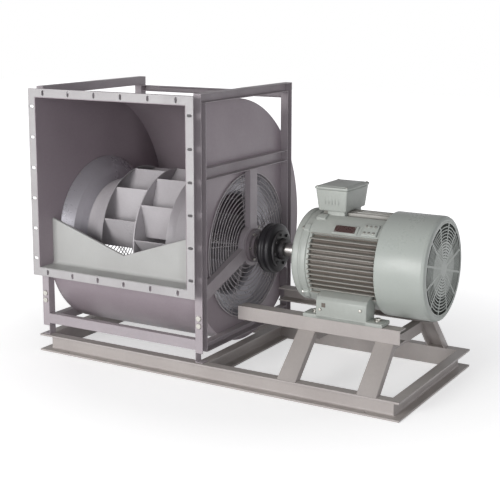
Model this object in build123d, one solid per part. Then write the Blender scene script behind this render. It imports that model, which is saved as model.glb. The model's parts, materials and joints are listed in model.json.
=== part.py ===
from build123d import *
from math import asin, cos, degrees, radians, sin, sqrt
import os

os.makedirs("parts", exist_ok=True)

# Millimetres. X runs along the shaft from the middle of the impeller towards the motor,
# Y runs from the outlet towards the back, Z runs up from the underside of the base.

# Shaft line
shaft_height = 516
shaft_radius = 35
shaft_left_end = -485
shaft_right_end = 535
bearing_clearance = 0.05
body_gap = 0.3
hidden_overlap = 1.0

# Base of rolled channel
base_left_x = -452
base_right_x = 1348
base_front_y = -441
base_rear_y = 349
base_height = 80
base_channel_depth = 45
base_web = 6
base_flange = 8
base_root_radius = 8
middle_web_x = 405
anchor_hole_radius = 7
anchor_end_distance = 150
anchor_rail_inset = 20

# Side frames of light channel
frame_outer_x = 440
frame_web_inner_x = 403
frame_bar_width = 40
frame_sheet = 3
frame_front_y = -428
frame_rear_y = 352
frame_top_z = 1229
mid_rail_bottom_z = shaft_height + 348
mid_rail_height = 50
bottom_rail_top_z = shaft_height - 354
bottom_rail_bottom_z = bottom_rail_top_z - frame_bar_width
frame_flange_bottom_z = base_height + 42
front_tie_bottom_z = base_height + 55
front_tie_height = 45
front_tie_depth = 30
rear_tie_height = 28
rear_tie_depth = 30
rear_tie_bottom_z = frame_top_z - 43 - rear_tie_height

# Fan housing
plate = 3
inner_half_width = 400
outlet_plane_y = -486
outlet_height = 770
scroll_top_radius = 600
scroll_rear_radius = 496
scroll_front_radius = 400
scroll_top_centre = (-120, shaft_height + 67)
scroll_rear_centre = (scroll_top_centre[0] + scroll_top_radius - scroll_rear_radius, scroll_top_centre[1])
scroll_front_centre = (scroll_rear_centre[0], scroll_rear_centre[1] - scroll_rear_radius + scroll_front_radius)
outlet_top_z = scroll_top_centre[1] + scroll_top_radius
outlet_bottom_z = outlet_top_z - outlet_height
cutoff_y = -371
cutoff_side_z = outlet_bottom_z + 207
cutoff_middle_z = outlet_bottom_z + 77

# Outlet flange
flange_leg = 37
flange_return = 40
flange_thickness = 4
slot_count = 6
slot_pitch_across = 142
slot_pitch_up = 138
slot_length = 24
slot_width = 12

# Inlets
plate_opening_radius = 326
cone_sheet = 3
cone_mouth_radius = 322
cone_eye_radius = 225
cone_bend_drop = 20
cone_bend_x = 372
cone_eye_x = 330
cone_end_x = 310
guard_radius = 332
guard_bar = 6
guard_depth = 8
guard_stand_off = 2
guard_ring_radii = (88, 130, 172, 214, 256, 294)
guard_spokes = 5
guard_first_spoke = 8
guard_rim_width = 12
guard_upright_gap = 1

# Bearing brackets
bracket_inner_x = 412
strut_width = 60
strut_wall = 4
strut_overrun = 1.2
bracket_ring_radius = 92
lower_strut_drop = 136
housing_radius = 75
housing_inner_x = 375
housing_outer_x = 470
housing_collar_radius = 55
housing_collar_length = 12

# Impeller
impeller_radius = 315
centre_plate_half = 3
shroud_edge_x = 176
shroud_eye_x = 322
shroud_eye_radius = 237
shroud_sheet = 3
blade_count = 12
right_blade_turn = 24
left_blade_turn = 9
blade_thickness = 4
blade_inner_radius = 170
blade_length = 158
blade_lean = 48
hub_radius = 70
hub_half_length = 62
hub_flange_radius = 120
hub_flange_thickness = 14

# Coupling
tyre_radius = 111
tyre_left_x = 510
tyre_right_x = 578
tyre_inner_radius = 60
tyre_wall = 12
coupling_hub_radius = 46
coupling_plate_radius = 88
coupling_plate_thickness = 8
fan_hub_left_x = 486
fan_hub_right_x = 535
motor_hub_left_x = 560
motor_hub_right_x = 612

# Motor
motor_shaft_radius = 30
motor_journal_radius = 32.5
motor_shaft_left_x = 560
motor_shaft_right_x = 1262
shield_boss_x = 700
shield_face_x = 735
motor_frame_left_x = 805
motor_frame_right_x = 1135
rear_shield_right_x = 1160
cowl_left_x = 1137
cowl_right_x = 1347
motor_body_radius = 183
motor_fin_radius = 206
motor_bore_radius = 168
shield_radius = 200
shield_boss_radius = 78
fin_thickness = 4
fin_pitch = 14
fins_each_way = 7
fin_start = 120
cowl_radius = 220
cowl_end_radius = 186
cowl_sheet = 3
cowl_lug_length = 10
cowl_lug_width = 30
grille_ring_radius = 115
grille_centre_radius = 60
grille_seat = 8
grille_bar = 8
grille_spokes = 8
motor_centre_height = 225
foot_bottom_z = shaft_height - motor_centre_height
foot_thickness = 18
foot_left_x = 807
foot_right_x = 1172
foot_inner_y = 138
foot_outer_y = 218
foot_hole_y = 178
foot_hole_x = (849, 1135)
foot_hole_radius = 9.5
foot_block_left_x = 868
foot_block_right_x = 1106
foot_block_top_z = foot_bottom_z + 99
foot_block_reach_y = 100
stator_bore_radius = 106
core_left_x = 860
core_right_x = 1080
rotor_core_radius = 104
cooling_fan_left_x = 1196
cooling_fan_right_x = 1252
cooling_fan_radius = 172
cooling_blade_count = 7

# Terminal box
box_left_x = 822
box_right_x = 951
box_front_y = -96
box_rear_y = 118
box_bottom_z = shaft_height + 211
box_lid_z = box_bottom_z + 87
box_top_z = box_lid_z + 15
box_taper = 14
box_wall = 5
neck_margin = 24

# Motor stand
stand_top_z = foot_bottom_z
stand_rail_height = 60
stand_rail_depth = 60
stand_rail_wall = 6
stand_rail_left_x = 485
stand_rail_right_x = 1248
stand_half_width = 212
leg_width = 58
leg_wall = 6
leg_depth = 42
leg_left_x = 835
leg_right_x = 1172
leg_top_inner_y = 165
leg_front_foot_y = -438
leg_rear_foot_y = 346
tie_height = 50
tie_width = 40
tie_wall = 5

# Fasteners
frame_bolt_radius = 8
frame_bolt_head = 6
frame_bolt_heights = (243, 276)
foot_bolt_head_radius = 14
foot_bolt_head_height = 12
foot_bolt_radius = 8
foot_bolt_length = 42

low = (Align.MIN, Align.MIN, Align.MIN)
shaft_axis = Axis((0, 0, shaft_height), (1, 0, 0))


def block(x0, x1, y0, y1, z0, z1):
    """Rectangular piece given by its six limits."""
    return Pos(x0, y0, z0) * Box(x1 - x0, y1 - y0, z1 - z0, align=low)


def disc(x0, x1, radius):
    """Round piece on the shaft line between two places along X."""
    turned_up = Plane(origin=(x0, 0, shaft_height), x_dir=(0, 1, 0), z_dir=(1, 0, 0))
    return turned_up * Cylinder(radius, x1 - x0, align=(Align.CENTER, Align.CENTER, Align.MIN))


def ring(x0, x1, inner, outer):
    """Round piece with a round hole, on the shaft line."""
    return disc(x0, x1, outer) - disc(x0, x1, inner)


def turned(points):
    """Piece of revolution about the shaft line from (x, radius) corners."""
    corners = [(x, 0, shaft_height + r) for x, r in points]
    return revolve(make_face(Polyline(*corners, close=True)), shaft_axis)


def side_prism(points, x0, x1):
    """Sheet or block with a (y, z) outline, running from x0 to x1."""
    corners = [(x0, y, z) for y, z in points]
    return extrude(make_face(Polyline(*corners, close=True)), amount=x1 - x0, dir=(1, 0, 0))


def plan_prism(points, z0, z1):
    """Block with an (x, y) outline, running from z0 to z1."""
    corners = [(x, y, z0) for x, y in points]
    return extrude(make_face(Polyline(*corners, close=True)), amount=z1 - z0, dir=(0, 0, 1))


def mirrored(shape):
    """The same piece on the other side of the impeller."""
    return mirror(shape, about=Plane.YZ)


def channel_profile(across, depth, web, flange, root):
    """Channel section with its web on the local Y axis and its mouth towards local +X."""
    pocket = Pos((web + depth) / 2, 0) * Rectangle(depth - web, across - 2 * flange)
    if root > 0:
        pocket = fillet(pocket.vertices().sort_by(Axis.X)[:2], root)
    return Pos(depth / 2, 0) * Rectangle(depth, across) - pocket


def channel_bar(start, along, mouth, length, across, depth, web, flange, root=0):
    """Straight channel from the middle of its web's back at `start`."""
    section = channel_profile(across, depth, web, flange, root)
    return extrude(Plane(origin=start, x_dir=mouth, z_dir=along) * section, amount=length)


# Base


def base_bar(start, along, mouth, length):
    return channel_bar(start, along, mouth, length, base_height, base_channel_depth,
                       base_web, base_flange, base_root_radius)


def base_outline(side):
    """Plan of one base bar with both ends mitred."""
    depth = base_channel_depth
    outer = [(base_left_x, base_front_y), (base_right_x, base_front_y),
             (base_right_x, base_rear_y), (base_left_x, base_rear_y)]
    inner = [(base_left_x + depth, base_front_y + depth), (base_right_x - depth, base_front_y + depth),
             (base_right_x - depth, base_rear_y - depth), (base_left_x + depth, base_rear_y - depth)]
    after = (side + 1) % 4
    corners = [outer[side], outer[after], inner[after], inner[side]]
    return plan_prism(corners, 0, base_height)


def anchor_holes(y):
    holes = []
    for x in (base_left_x + anchor_end_distance, base_right_x - anchor_end_distance):
        hole = Pos(x, y, 0) * Cylinder(anchor_hole_radius, 2 * base_flange)
        holes.append(hole)
    return holes


def base_front_rail():
    start = (base_left_x, base_front_y + base_channel_depth, base_height / 2)
    bar = base_bar(start, (1, 0, 0), (0, -1, 0), base_right_x - base_left_x)
    return (bar & base_outline(0)) - anchor_holes(base_front_y + anchor_rail_inset)


def base_rear_rail():
    start = (base_left_x, base_rear_y - base_channel_depth, base_height / 2)
    bar = base_bar(start, (1, 0, 0), (0, 1, 0), base_right_x - base_left_x)
    return (bar & base_outline(2)) - anchor_holes(base_rear_y - anchor_rail_inset)


def base_right_end():
    start = (base_right_x - base_channel_depth, base_front_y, base_height / 2)
    bar = base_bar(start, (0, 1, 0), (1, 0, 0), base_rear_y - base_front_y)
    return bar & base_outline(1)


def base_left_end():
    start = (base_left_x + base_channel_depth, base_front_y, base_height / 2)
    bar = base_bar(start, (0, 1, 0), (-1, 0, 0), base_rear_y - base_front_y)
    return bar & base_outline(3)


def base_middle_member():
    start_y = base_front_y + base_channel_depth
    start = (middle_web_x, start_y, base_height / 2)
    length = base_rear_y - base_channel_depth - start_y
    return base_bar(start, (0, 1, 0), (1, 0, 0), length)


# Side frames


frame_depth = frame_outer_x - frame_web_inner_x


def frame_bar(start, along, length, width=frame_bar_width):
    return channel_bar(start, along, (1, 0, 0), length, width, frame_depth, frame_sheet, frame_sheet)


def frame_upright(edge_y, inward):
    """Upright mitred at its top; below the flanges only the web and a turned foot go on."""
    middle_y = edge_y + inward * frame_bar_width / 2
    inner_y = edge_y + inward * frame_bar_width
    bar = frame_bar((frame_web_inner_x, middle_y, base_height), (0, 0, 1), frame_top_z - base_height)
    top = [(edge_y, base_height), (edge_y, frame_top_z),
           (inner_y, frame_top_z - frame_bar_width), (inner_y, base_height)]
    bar = bar & side_prism(top, frame_web_inner_x, frame_outer_x)
    cut_low, cut_high = sorted((edge_y, inner_y))
    bar = bar - block(frame_web_inner_x + frame_sheet, frame_outer_x, cut_low, cut_high,
                      base_height + frame_sheet, frame_flange_bottom_z)
    foot = block(frame_web_inner_x, frame_outer_x, cut_low, cut_high, base_height, base_height + frame_sheet)
    return bar + foot


def front_upright():
    upright = frame_upright(frame_front_y, 1)
    for z in frame_bolt_heights:
        hole_x = frame_web_inner_x + frame_depth / 2
        hole = Pos(hole_x, frame_front_y, z) * Rot(90, 0, 0) * Cylinder(frame_bolt_radius, 4 * frame_sheet)
        upright = upright - hole
    return upright


def rear_upright():
    return frame_upright(frame_rear_y, -1)


def top_rail():
    bar = frame_bar((frame_web_inner_x, frame_front_y, frame_top_z - frame_bar_width / 2),
                    (0, 1, 0), frame_rear_y - frame_front_y)
    mitre = [(frame_front_y, frame_top_z), (frame_rear_y, frame_top_z),
             (frame_rear_y - frame_bar_width, frame_top_z - frame_bar_width),
             (frame_front_y + frame_bar_width, frame_top_z - frame_bar_width)]
    return bar & side_prism(mitre, frame_web_inner_x, frame_outer_x)


def cross_rail(bottom_z, height):
    start_y = frame_front_y + frame_bar_width
    length = frame_rear_y - frame_bar_width - start_y
    return frame_bar((frame_web_inner_x, start_y, bottom_z + height / 2), (0, 1, 0), length, height)


def tie_bar(y, mouth, bottom_z, height, depth):
    start = (-frame_web_inner_x, y, bottom_z + height / 2)
    return channel_bar(start, (1, 0, 0), mouth, 2 * frame_web_inner_x, height, depth,
                       frame_sheet, frame_sheet)


def front_bottom_tie():
    return tie_bar(frame_front_y, (0, 1, 0), front_tie_bottom_z, front_tie_height, front_tie_depth)


def rear_top_tie():
    return tie_bar(frame_rear_y, (0, -1, 0), rear_tie_bottom_z, rear_tie_height, rear_tie_depth)


def frame_bolts():
    """Hexagon bolts through the front flange of each front upright."""
    bolts = []
    for side in (-1, 1):
        for z in frame_bolt_heights:
            x = side * (frame_web_inner_x + frame_depth / 2)
            facing = Pos(x, frame_front_y, z) * Rot(90, 0, 0)
            head = facing * extrude(RegularPolygon(frame_bolt_radius * 1.6, 6), frame_bolt_head)
            shank = facing * Pos(0, 0, -frame_sheet) * Cylinder(
                frame_bolt_radius, frame_sheet, align=(Align.CENTER, Align.CENTER, Align.MIN))
            bolts.append(head + shank)
    return Compound(children=bolts)


# Fan housing


def arc_point(centre, radius, angle):
    return (centre[0] + radius * cos(radians(angle)), centre[1] + radius * sin(radians(angle)))


def scroll_end_angle(offset, level):
    """Angle on the front arc, offset outwards, where it reaches the given height."""
    return 180 - degrees(asin((level - scroll_front_centre[1]) / (scroll_front_radius + offset)))


def scroll_path(offset, x):
    """Open line along the scroll from the outlet top round to the outlet floor."""
    def at(point):
        return (x, point[0], point[1])

    def arc(centre, radius, begin, end):
        middle = (begin + end) / 2
        return ThreePointArc(at(arc_point(centre, radius, begin)), at(arc_point(centre, radius, middle)),
                             at(arc_point(centre, radius, end)))

    floor_underside = outlet_bottom_z - plate
    end_angle = scroll_end_angle(offset, floor_underside) - 360
    top = Line((x, outlet_plane_y, outlet_top_z + offset), (x, scroll_top_centre[0], outlet_top_z + offset))
    upper = arc(scroll_top_centre, scroll_top_radius + offset, 90, 0)
    lower = arc(scroll_rear_centre, scroll_rear_radius + offset, 0, -90)
    front = arc(scroll_front_centre, scroll_front_radius + offset, -90, end_angle)
    return top, upper, lower, front


def scroll_wrapper():
    inside = scroll_path(0, -inner_half_width)
    outside = scroll_path(plate, -inner_half_width)
    first = Line(inside[0] @ 0, outside[0] @ 0)
    last = Line(inside[3] @ 1, outside[3] @ 1)
    section = make_face(Curve() + [*inside, *outside, first, last])
    return extrude(section, amount=2 * inner_half_width, dir=(1, 0, 0))


def side_plate():
    """Sheet with the outline of the scroll and the outlet, and a round inlet opening."""
    edge = scroll_path(plate, inner_half_width)
    floor_z = outlet_bottom_z - plate
    start = edge[0] @ 0
    scroll_end = edge[3] @ 1
    floor = Line(scroll_end, (inner_half_width, outlet_plane_y, floor_z))
    front = Line((inner_half_width, outlet_plane_y, floor_z), start)
    section = make_face(Curve() + [*edge, floor, front])
    sheet = extrude(section, amount=plate, dir=(1, 0, 0))
    return sheet - disc(inner_half_width - plate, inner_half_width + 2 * plate, plate_opening_radius)


def cutoff_plate():
    """Outlet floor bent up into the cut-off, whose top edge dips towards the middle."""
    floor = block(-inner_half_width, inner_half_width, outlet_plane_y, cutoff_y,
                  outlet_bottom_z - plate, outlet_bottom_z)
    corners = [(-inner_half_width, 0, outlet_bottom_z - plate), (inner_half_width, 0, outlet_bottom_z - plate),
               (inner_half_width, 0, cutoff_side_z), (0, 0, cutoff_middle_z),
               (-inner_half_width, 0, cutoff_side_z)]
    face = Pos(0, cutoff_y, 0) * make_face(Polyline(*corners, close=True))
    return floor + extrude(face, amount=plate, dir=(0, 1, 0))


def flange_slots():
    """Oblong holes, lying across the width of the flange on all four sides."""
    half = (slot_count - 1) / 2
    middle_z = (outlet_bottom_z + outlet_top_z) / 2
    row_x = inner_half_width + plate + flange_leg / 2
    slots = []
    for index in range(slot_count):
        across = (index - half) * slot_pitch_across
        up = middle_z + (index - half) * slot_pitch_up
        for z in (outlet_bottom_z - plate - flange_leg / 2, outlet_top_z + plate + flange_leg / 2):
            slots.append(Pos(across, outlet_plane_y, z) * Rot(90, 0, 0) * slot_cutter(90))
        for x in (-row_x, row_x):
            slots.append(Pos(x, outlet_plane_y, up) * Rot(90, 0, 0) * slot_cutter(0))
    return slots


def slot_cutter(turn):
    return extrude(SlotOverall(slot_length, slot_width, rotation=turn), 2 * flange_thickness, both=True)


def outlet_flange():
    """Angle-iron frame round the outlet, its return leg lying on the housing."""
    half = inner_half_width + plate
    low_z = outlet_bottom_z - plate
    high_z = outlet_top_z + plate
    back = outlet_plane_y + flange_thickness
    end = outlet_plane_y + flange_return
    face = block(-half - flange_leg, half + flange_leg, outlet_plane_y, back,
                 low_z - flange_leg, high_z + flange_leg)
    collar = block(-half - flange_thickness, half + flange_thickness, outlet_plane_y, end,
                   low_z - flange_thickness, high_z + flange_thickness)
    opening = block(-half, half, outlet_plane_y, end, low_z, high_z)
    return (face + collar) - opening - flange_slots()


# Inlets and bearings


def right_inlet_cone():
    """Sheet bell set into the side plate's opening, drawn in to a cylindrical throat."""
    lip_face_x = inner_half_width + plate
    bend_radius = cone_mouth_radius - cone_bend_drop
    outside = [(lip_face_x, plate_opening_radius), (lip_face_x, cone_mouth_radius),
               (cone_bend_x, bend_radius), (cone_eye_x, cone_eye_radius),
               (cone_end_x, cone_eye_radius)]
    inside = [(cone_end_x, cone_eye_radius + cone_sheet), (cone_eye_x - cone_sheet / 2, cone_eye_radius + cone_sheet),
              (cone_bend_x - cone_sheet, bend_radius + cone_sheet / 2),
              (inner_half_width, plate_opening_radius)]
    return turned(outside + inside)


def right_inlet_guard():
    """Round guard of rings and spokes, its rim on the side plate and cut straight at the upright."""
    plate_face = inner_half_width + plate
    back = plate_face + guard_stand_off
    front = plate_face + guard_depth
    guard = ring(plate_face, front, guard_radius - guard_rim_width, guard_radius)
    for radius in guard_ring_radii:
        guard = guard + ring(back, front, radius - guard_bar / 2, radius + guard_bar / 2)
    for index in range(guard_spokes):
        spoke = block(back, front, -guard_bar / 2, guard_bar / 2,
                      shaft_height + guard_ring_radii[0], shaft_height + guard_radius - guard_bar)
        turn = guard_first_spoke + 360 * index / guard_spokes
        guard = guard + spoke.rotate(shaft_axis, turn)
    beside_upright = frame_rear_y - frame_bar_width - guard_upright_gap
    return guard & block(plate_face, front, -guard_radius, beside_upright, 0, 2 * shaft_height)


def strut_between(start, end):
    """Hollow-backed strut in the plane of the side frame, open towards the housing."""
    run_y = end[0] - start[0]
    run_z = end[1] - start[1]
    length = sqrt(run_y * run_y + run_z * run_z)
    along = (0, run_y / length, run_z / length)
    return channel_bar((frame_outer_x, start[0], start[1]), along, (-1, 0, 0), length, strut_width,
                       frame_outer_x - bracket_inner_x, strut_wall, strut_wall)


def right_bearing_bracket():
    """Three struts from the bearing seat to the mid rail and the two uprights."""
    seat = (0, shaft_height)
    front_inner = frame_front_y + frame_bar_width
    rear_inner = frame_rear_y - frame_bar_width
    bracket = strut_between(seat, (0, mid_rail_bottom_z))
    for edge in (front_inner, rear_inner):
        reach = (edge * strut_overrun, shaft_height - lower_strut_drop * strut_overrun)
        bracket = bracket + strut_between(seat, reach)
    between = block(0, frame_outer_x, front_inner, rear_inner, 0, mid_rail_bottom_z)
    bracket = bracket & between
    bracket = bracket + disc(bracket_inner_x, frame_outer_x, bracket_ring_radius)
    return bracket - disc(bracket_inner_x, frame_outer_x, housing_radius)


def right_bearing_housing():
    body = disc(housing_inner_x + housing_collar_length, housing_outer_x - housing_collar_length, housing_radius)
    collars = disc(housing_inner_x, housing_outer_x, housing_collar_radius)
    return body + collars - disc(housing_inner_x, housing_outer_x, shaft_radius + bearing_clearance)


# Fan rotor


def fan_shaft():
    return disc(shaft_left_end, shaft_right_end, shaft_radius)


def impeller_hub():
    """Turned hub with a flange on each side of the centre plate."""
    hub = disc(-hub_half_length, hub_half_length, hub_radius)
    flange = disc(centre_plate_half, centre_plate_half + hub_flange_thickness, hub_flange_radius)
    hub = hub + flange + mirrored(flange)
    hub = hub - ring(-centre_plate_half, centre_plate_half, hub_radius - hidden_overlap, hub_flange_radius)
    return hub - disc(-hub_half_length, hub_half_length, shaft_radius)


def impeller_centre_plate():
    return ring(-centre_plate_half, centre_plate_half, hub_radius, impeller_radius)


def shroud_line(offset):
    """Corners of the shroud from its rim to its eye, moved outwards by the offset."""
    depth = shroud_eye_x - shroud_edge_x
    fall = impeller_radius - shroud_eye_radius
    return [(shroud_edge_x + depth * along, impeller_radius + offset - fall * drop)
            for along, drop in ((0, 0), (0.2, 0.3), (0.45, 0.6), (0.72, 0.85), (0.88, 0.95), (1, 1))]


def right_shroud():
    return turned(shroud_line(0) + shroud_line(shroud_sheet)[::-1])


def blade_space():
    """Space between the centre plate and the shroud."""
    edge = [(shroud_edge_x, blade_inner_radius), (centre_plate_half, blade_inner_radius),
            (centre_plate_half, impeller_radius)]
    return turned(shroud_line(0)[:4] + edge)


def blade_row(turn):
    """Flat blades on the right of the centre plate, leaning back against the turning direction."""
    blades = []
    flat = block(centre_plate_half, shroud_eye_x, -blade_length, 0, -blade_thickness / 2, blade_thickness / 2)
    first = Pos(0, impeller_radius - 1, shaft_height) * Rot(X=-(90 - blade_lean)) * flat
    for index in range(blade_count):
        blade = first.rotate(shaft_axis, turn + 360 * index / blade_count)
        blades.append(blade & blade_space())
    return Compound(children=[solid for blade in blades for solid in blade.solids()])


def fan_coupling_hub():
    hub = disc(fan_hub_left_x, fan_hub_right_x, coupling_hub_radius)
    plate_disc = disc(tyre_left_x + tyre_wall, tyre_left_x + tyre_wall + coupling_plate_thickness,
                      coupling_plate_radius)
    return hub + plate_disc - disc(fan_hub_left_x, fan_hub_right_x, shaft_radius)


def coupling_tyre():
    """Rubber tyre with two raised shoulders, its beads gripping the two hub plates."""
    left = tyre_left_x
    right = tyre_right_x
    shoulder = 8
    groove = 16
    middle = (left + right) / 2
    outside = [(left, tyre_inner_radius), (left, tyre_radius - shoulder), (left + shoulder, tyre_radius),
               (middle - groove / 2, tyre_radius), (middle - groove / 4, tyre_radius - 5),
               (middle + groove / 4, tyre_radius - 5), (middle + groove / 2, tyre_radius),
               (right - shoulder, tyre_radius), (right, tyre_radius - shoulder), (right, tyre_inner_radius)]
    inner_left = left + tyre_wall
    inner_right = right - tyre_wall
    inside = [(inner_right, tyre_inner_radius), (inner_right, tyre_radius - tyre_wall - 6),
              (inner_left, tyre_radius - tyre_wall - 6), (inner_left, tyre_inner_radius)]
    return turned(outside + inside)


# Motor rotor


def motor_shaft():
    """Stepped shaft, thicker between the two shields."""
    thin = disc(motor_shaft_left_x, motor_shaft_right_x, motor_shaft_radius)
    return thin + disc(shield_boss_x - 10, rear_shield_right_x, motor_journal_radius)


def rotor_core():
    return ring(core_left_x, core_right_x, motor_journal_radius, rotor_core_radius)


def motor_cooling_fan():
    """Small fan with straight radial blades on a disc."""
    hub = disc(cooling_fan_left_x, cooling_fan_right_x, 46)
    back = disc(cooling_fan_right_x - 5, cooling_fan_right_x, 130)
    fan = hub + back
    for index in range(cooling_blade_count):
        blade = block(cooling_fan_left_x, cooling_fan_right_x, -2, 2, shaft_height + 40,
                      shaft_height + cooling_fan_radius)
        fan = fan + blade.rotate(shaft_axis, 360 * index / cooling_blade_count)
    return fan - disc(cooling_fan_left_x, cooling_fan_right_x, motor_shaft_radius)


def motor_coupling_hub():
    hub = disc(motor_hub_left_x, motor_hub_right_x, coupling_hub_radius)
    plate_disc = disc(tyre_right_x - tyre_wall - coupling_plate_thickness - body_gap,
                      tyre_right_x - tyre_wall - body_gap, coupling_plate_radius)
    return hub + plate_disc - disc(fan_hub_right_x, motor_hub_right_x, motor_shaft_radius)


# Motor


def motor_fins():
    """Level fins on both flanks and upright fins above and below, cut to a round outline."""
    fins = []
    for index in range(-fins_each_way, fins_each_way + 1):
        offset = index * fin_pitch
        level = block(motor_frame_left_x, motor_frame_right_x, -motor_fin_radius, motor_fin_radius,
                      shaft_height + offset - fin_thickness / 2, shaft_height + offset + fin_thickness / 2)
        upright = block(motor_frame_left_x, motor_frame_right_x, offset - fin_thickness / 2,
                        offset + fin_thickness / 2, shaft_height - motor_fin_radius,
                        shaft_height + motor_fin_radius)
        fins.append(level - block(motor_frame_left_x, motor_frame_right_x, -fin_start, fin_start,
                                  0, 2 * shaft_height))
        fins.append(upright - block(motor_frame_left_x, motor_frame_right_x, -motor_fin_radius, motor_fin_radius,
                                    shaft_height - fin_start, shaft_height + fin_start))
    return [fin & disc(motor_frame_left_x, motor_frame_right_x, motor_fin_radius) for fin in fins]


def motor_foot(side):
    """Foot plate with two holes and the block that carries the frame."""
    low_y, high_y = sorted((side * foot_inner_y, side * foot_outer_y))
    foot = block(foot_left_x, foot_right_x, low_y, high_y, foot_bottom_z, foot_bottom_z + foot_thickness)
    support = [(side * foot_outer_y, foot_bottom_z), (side * foot_outer_y, foot_block_top_z - 20),
               (side * (foot_outer_y - 20), foot_block_top_z), (side * foot_block_reach_y, foot_block_top_z + 20),
               (side * foot_block_reach_y, foot_bottom_z + 30), (side * foot_inner_y, foot_bottom_z)]
    foot = foot + side_prism(support, foot_block_left_x, foot_block_right_x)
    for x in foot_hole_x:
        hole = Pos(x, side * foot_hole_y, foot_bottom_z) * Cylinder(foot_hole_radius, 4 * foot_thickness)
        foot = foot - hole
    return foot


def motor_frame():
    body = disc(motor_frame_left_x, motor_frame_right_x, motor_body_radius)
    for fin in motor_fins():
        body = body + fin
    body = body + motor_foot(-1) + motor_foot(1)
    neck = block(box_left_x + neck_margin, box_right_x - neck_margin, box_front_y + neck_margin,
                 box_rear_y - neck_margin, shaft_height + motor_body_radius - 40, box_bottom_z)
    body = body + neck
    return body - disc(motor_frame_left_x, motor_frame_right_x, motor_bore_radius)


def drive_end_shield():
    """Dished cover with a boss round the shaft and four bolt lugs."""
    corners = [(shield_boss_x, motor_journal_radius + bearing_clearance), (shield_boss_x, shield_boss_radius),
               (shield_face_x, shield_boss_radius + 6), (shield_face_x + 6, 150),
               (shield_face_x + 26, shield_radius - 8), (shield_face_x + 40, shield_radius),
               (motor_frame_left_x, shield_radius), (motor_frame_left_x, motor_bore_radius),
               (shield_face_x + 36, 140), (shield_face_x + 36, motor_journal_radius + bearing_clearance)]
    return turned(corners)


def rear_end_shield():
    corners = [(motor_frame_right_x, motor_bore_radius), (motor_frame_right_x, shield_radius - 4),
               (rear_shield_right_x - 6, shield_radius - 4), (rear_shield_right_x, shield_radius - 14),
               (rear_shield_right_x, motor_journal_radius + bearing_clearance),
               (motor_frame_right_x - 18, motor_journal_radius + bearing_clearance),
               (motor_frame_right_x - 18, 120), (motor_frame_right_x, 140)]
    return turned(corners)


def fan_cowl():
    """Sheet cowl with a rounded rear edge, held off the end shield by four lugs."""
    skin = [(cowl_left_x, cowl_radius), (cowl_right_x - 34, cowl_radius), (cowl_right_x - 12, cowl_radius - 8),
            (cowl_right_x, cowl_end_radius + 8), (cowl_right_x, cowl_end_radius - grille_seat),
            (cowl_right_x - cowl_sheet, cowl_end_radius - grille_seat), (cowl_right_x - cowl_sheet, cowl_end_radius + 6),
            (cowl_right_x - 14, cowl_radius - 11), (cowl_right_x - 35, cowl_radius - cowl_sheet),
            (cowl_left_x, cowl_radius - cowl_sheet)]
    cowl = turned(skin)
    lug_ring = ring(cowl_left_x, cowl_left_x + cowl_lug_length, shield_radius - 4, cowl_radius - cowl_sheet / 2)
    for turn in (45, 135, 225, 315):
        reach = block(cowl_left_x, cowl_left_x + cowl_lug_length, -cowl_lug_width / 2, cowl_lug_width / 2,
                      shaft_height, shaft_height + cowl_radius)
        cowl = cowl + (lug_ring & reach.rotate(shaft_axis, turn))
    return cowl


def cowl_grille():
    """Round grille with a solid middle, one ring and spokes, in the end of the cowl."""
    back = cowl_right_x - cowl_sheet
    outer = cowl_end_radius - grille_seat
    grille = disc(back, cowl_right_x, grille_centre_radius)
    grille = grille + ring(back, cowl_right_x, grille_ring_radius - grille_bar / 2, grille_ring_radius + grille_bar / 2)
    for index in range(grille_spokes):
        spoke = block(back, cowl_right_x, -grille_bar / 2, grille_bar / 2, shaft_height,
                      shaft_height + outer - grille_bar / 2)
        grille = grille + spoke.rotate(shaft_axis, 360 * (index + 0.5) / grille_spokes)
    return grille + ring(back, cowl_right_x, outer - grille_bar, outer)


def terminal_box():
    """Cast box, wider at the top than at the bottom, open under its lid."""
    def level(z, grow):
        corners = [(box_left_x - grow, box_front_y - grow, z), (box_right_x + grow, box_front_y - grow, z),
                   (box_right_x + grow, box_rear_y + grow, z), (box_left_x - grow, box_rear_y + grow, z)]
        return make_face(Polyline(*corners, close=True))

    outside = loft([level(box_bottom_z, -box_taper), level(box_lid_z, 0)])
    inside = loft([level(box_bottom_z + box_wall, -box_taper - box_wall), level(box_lid_z, -box_wall)])
    return outside - inside


def terminal_box_lid():
    lid = block(box_left_x, box_right_x, box_front_y, box_rear_y, box_lid_z, box_top_z)
    return chamfer(lid.faces().sort_by(Axis.Z)[-1].edges(), 5)


def stator_core():
    return ring(core_left_x, core_right_x, stator_bore_radius, motor_bore_radius)


def motor_foot_bolts():
    """Hexagon bolts through the motor feet and the rails below them."""
    bolts = []
    top = foot_bottom_z + foot_thickness
    for side in (-1, 1):
        for x in foot_hole_x:
            place = Pos(x, side * foot_hole_y, top)
            head = place * extrude(RegularPolygon(foot_bolt_head_radius, 6), foot_bolt_head_height)
            shank = place * Cylinder(foot_bolt_radius, foot_bolt_length,
                                     align=(Align.CENTER, Align.CENTER, Align.MAX))
            bolts.append(head + shank)
    return Compound(children=bolts)


# Motor stand


def stand_rail(side):
    """Channel under the motor feet, its web outwards, with holes for the foot bolts."""
    start = (stand_rail_left_x, side * stand_half_width, stand_top_z - stand_rail_height / 2)
    rail = channel_bar(start, (1, 0, 0), (0, -side, 0), stand_rail_right_x - stand_rail_left_x,
                       stand_rail_height, stand_rail_depth, stand_rail_wall, stand_rail_wall)
    for x in foot_hole_x:
        hole = Pos(x, side * foot_hole_y, stand_top_z) * Cylinder(foot_hole_radius, 4 * stand_rail_wall)
        rail = rail - hole
    return rail


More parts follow.
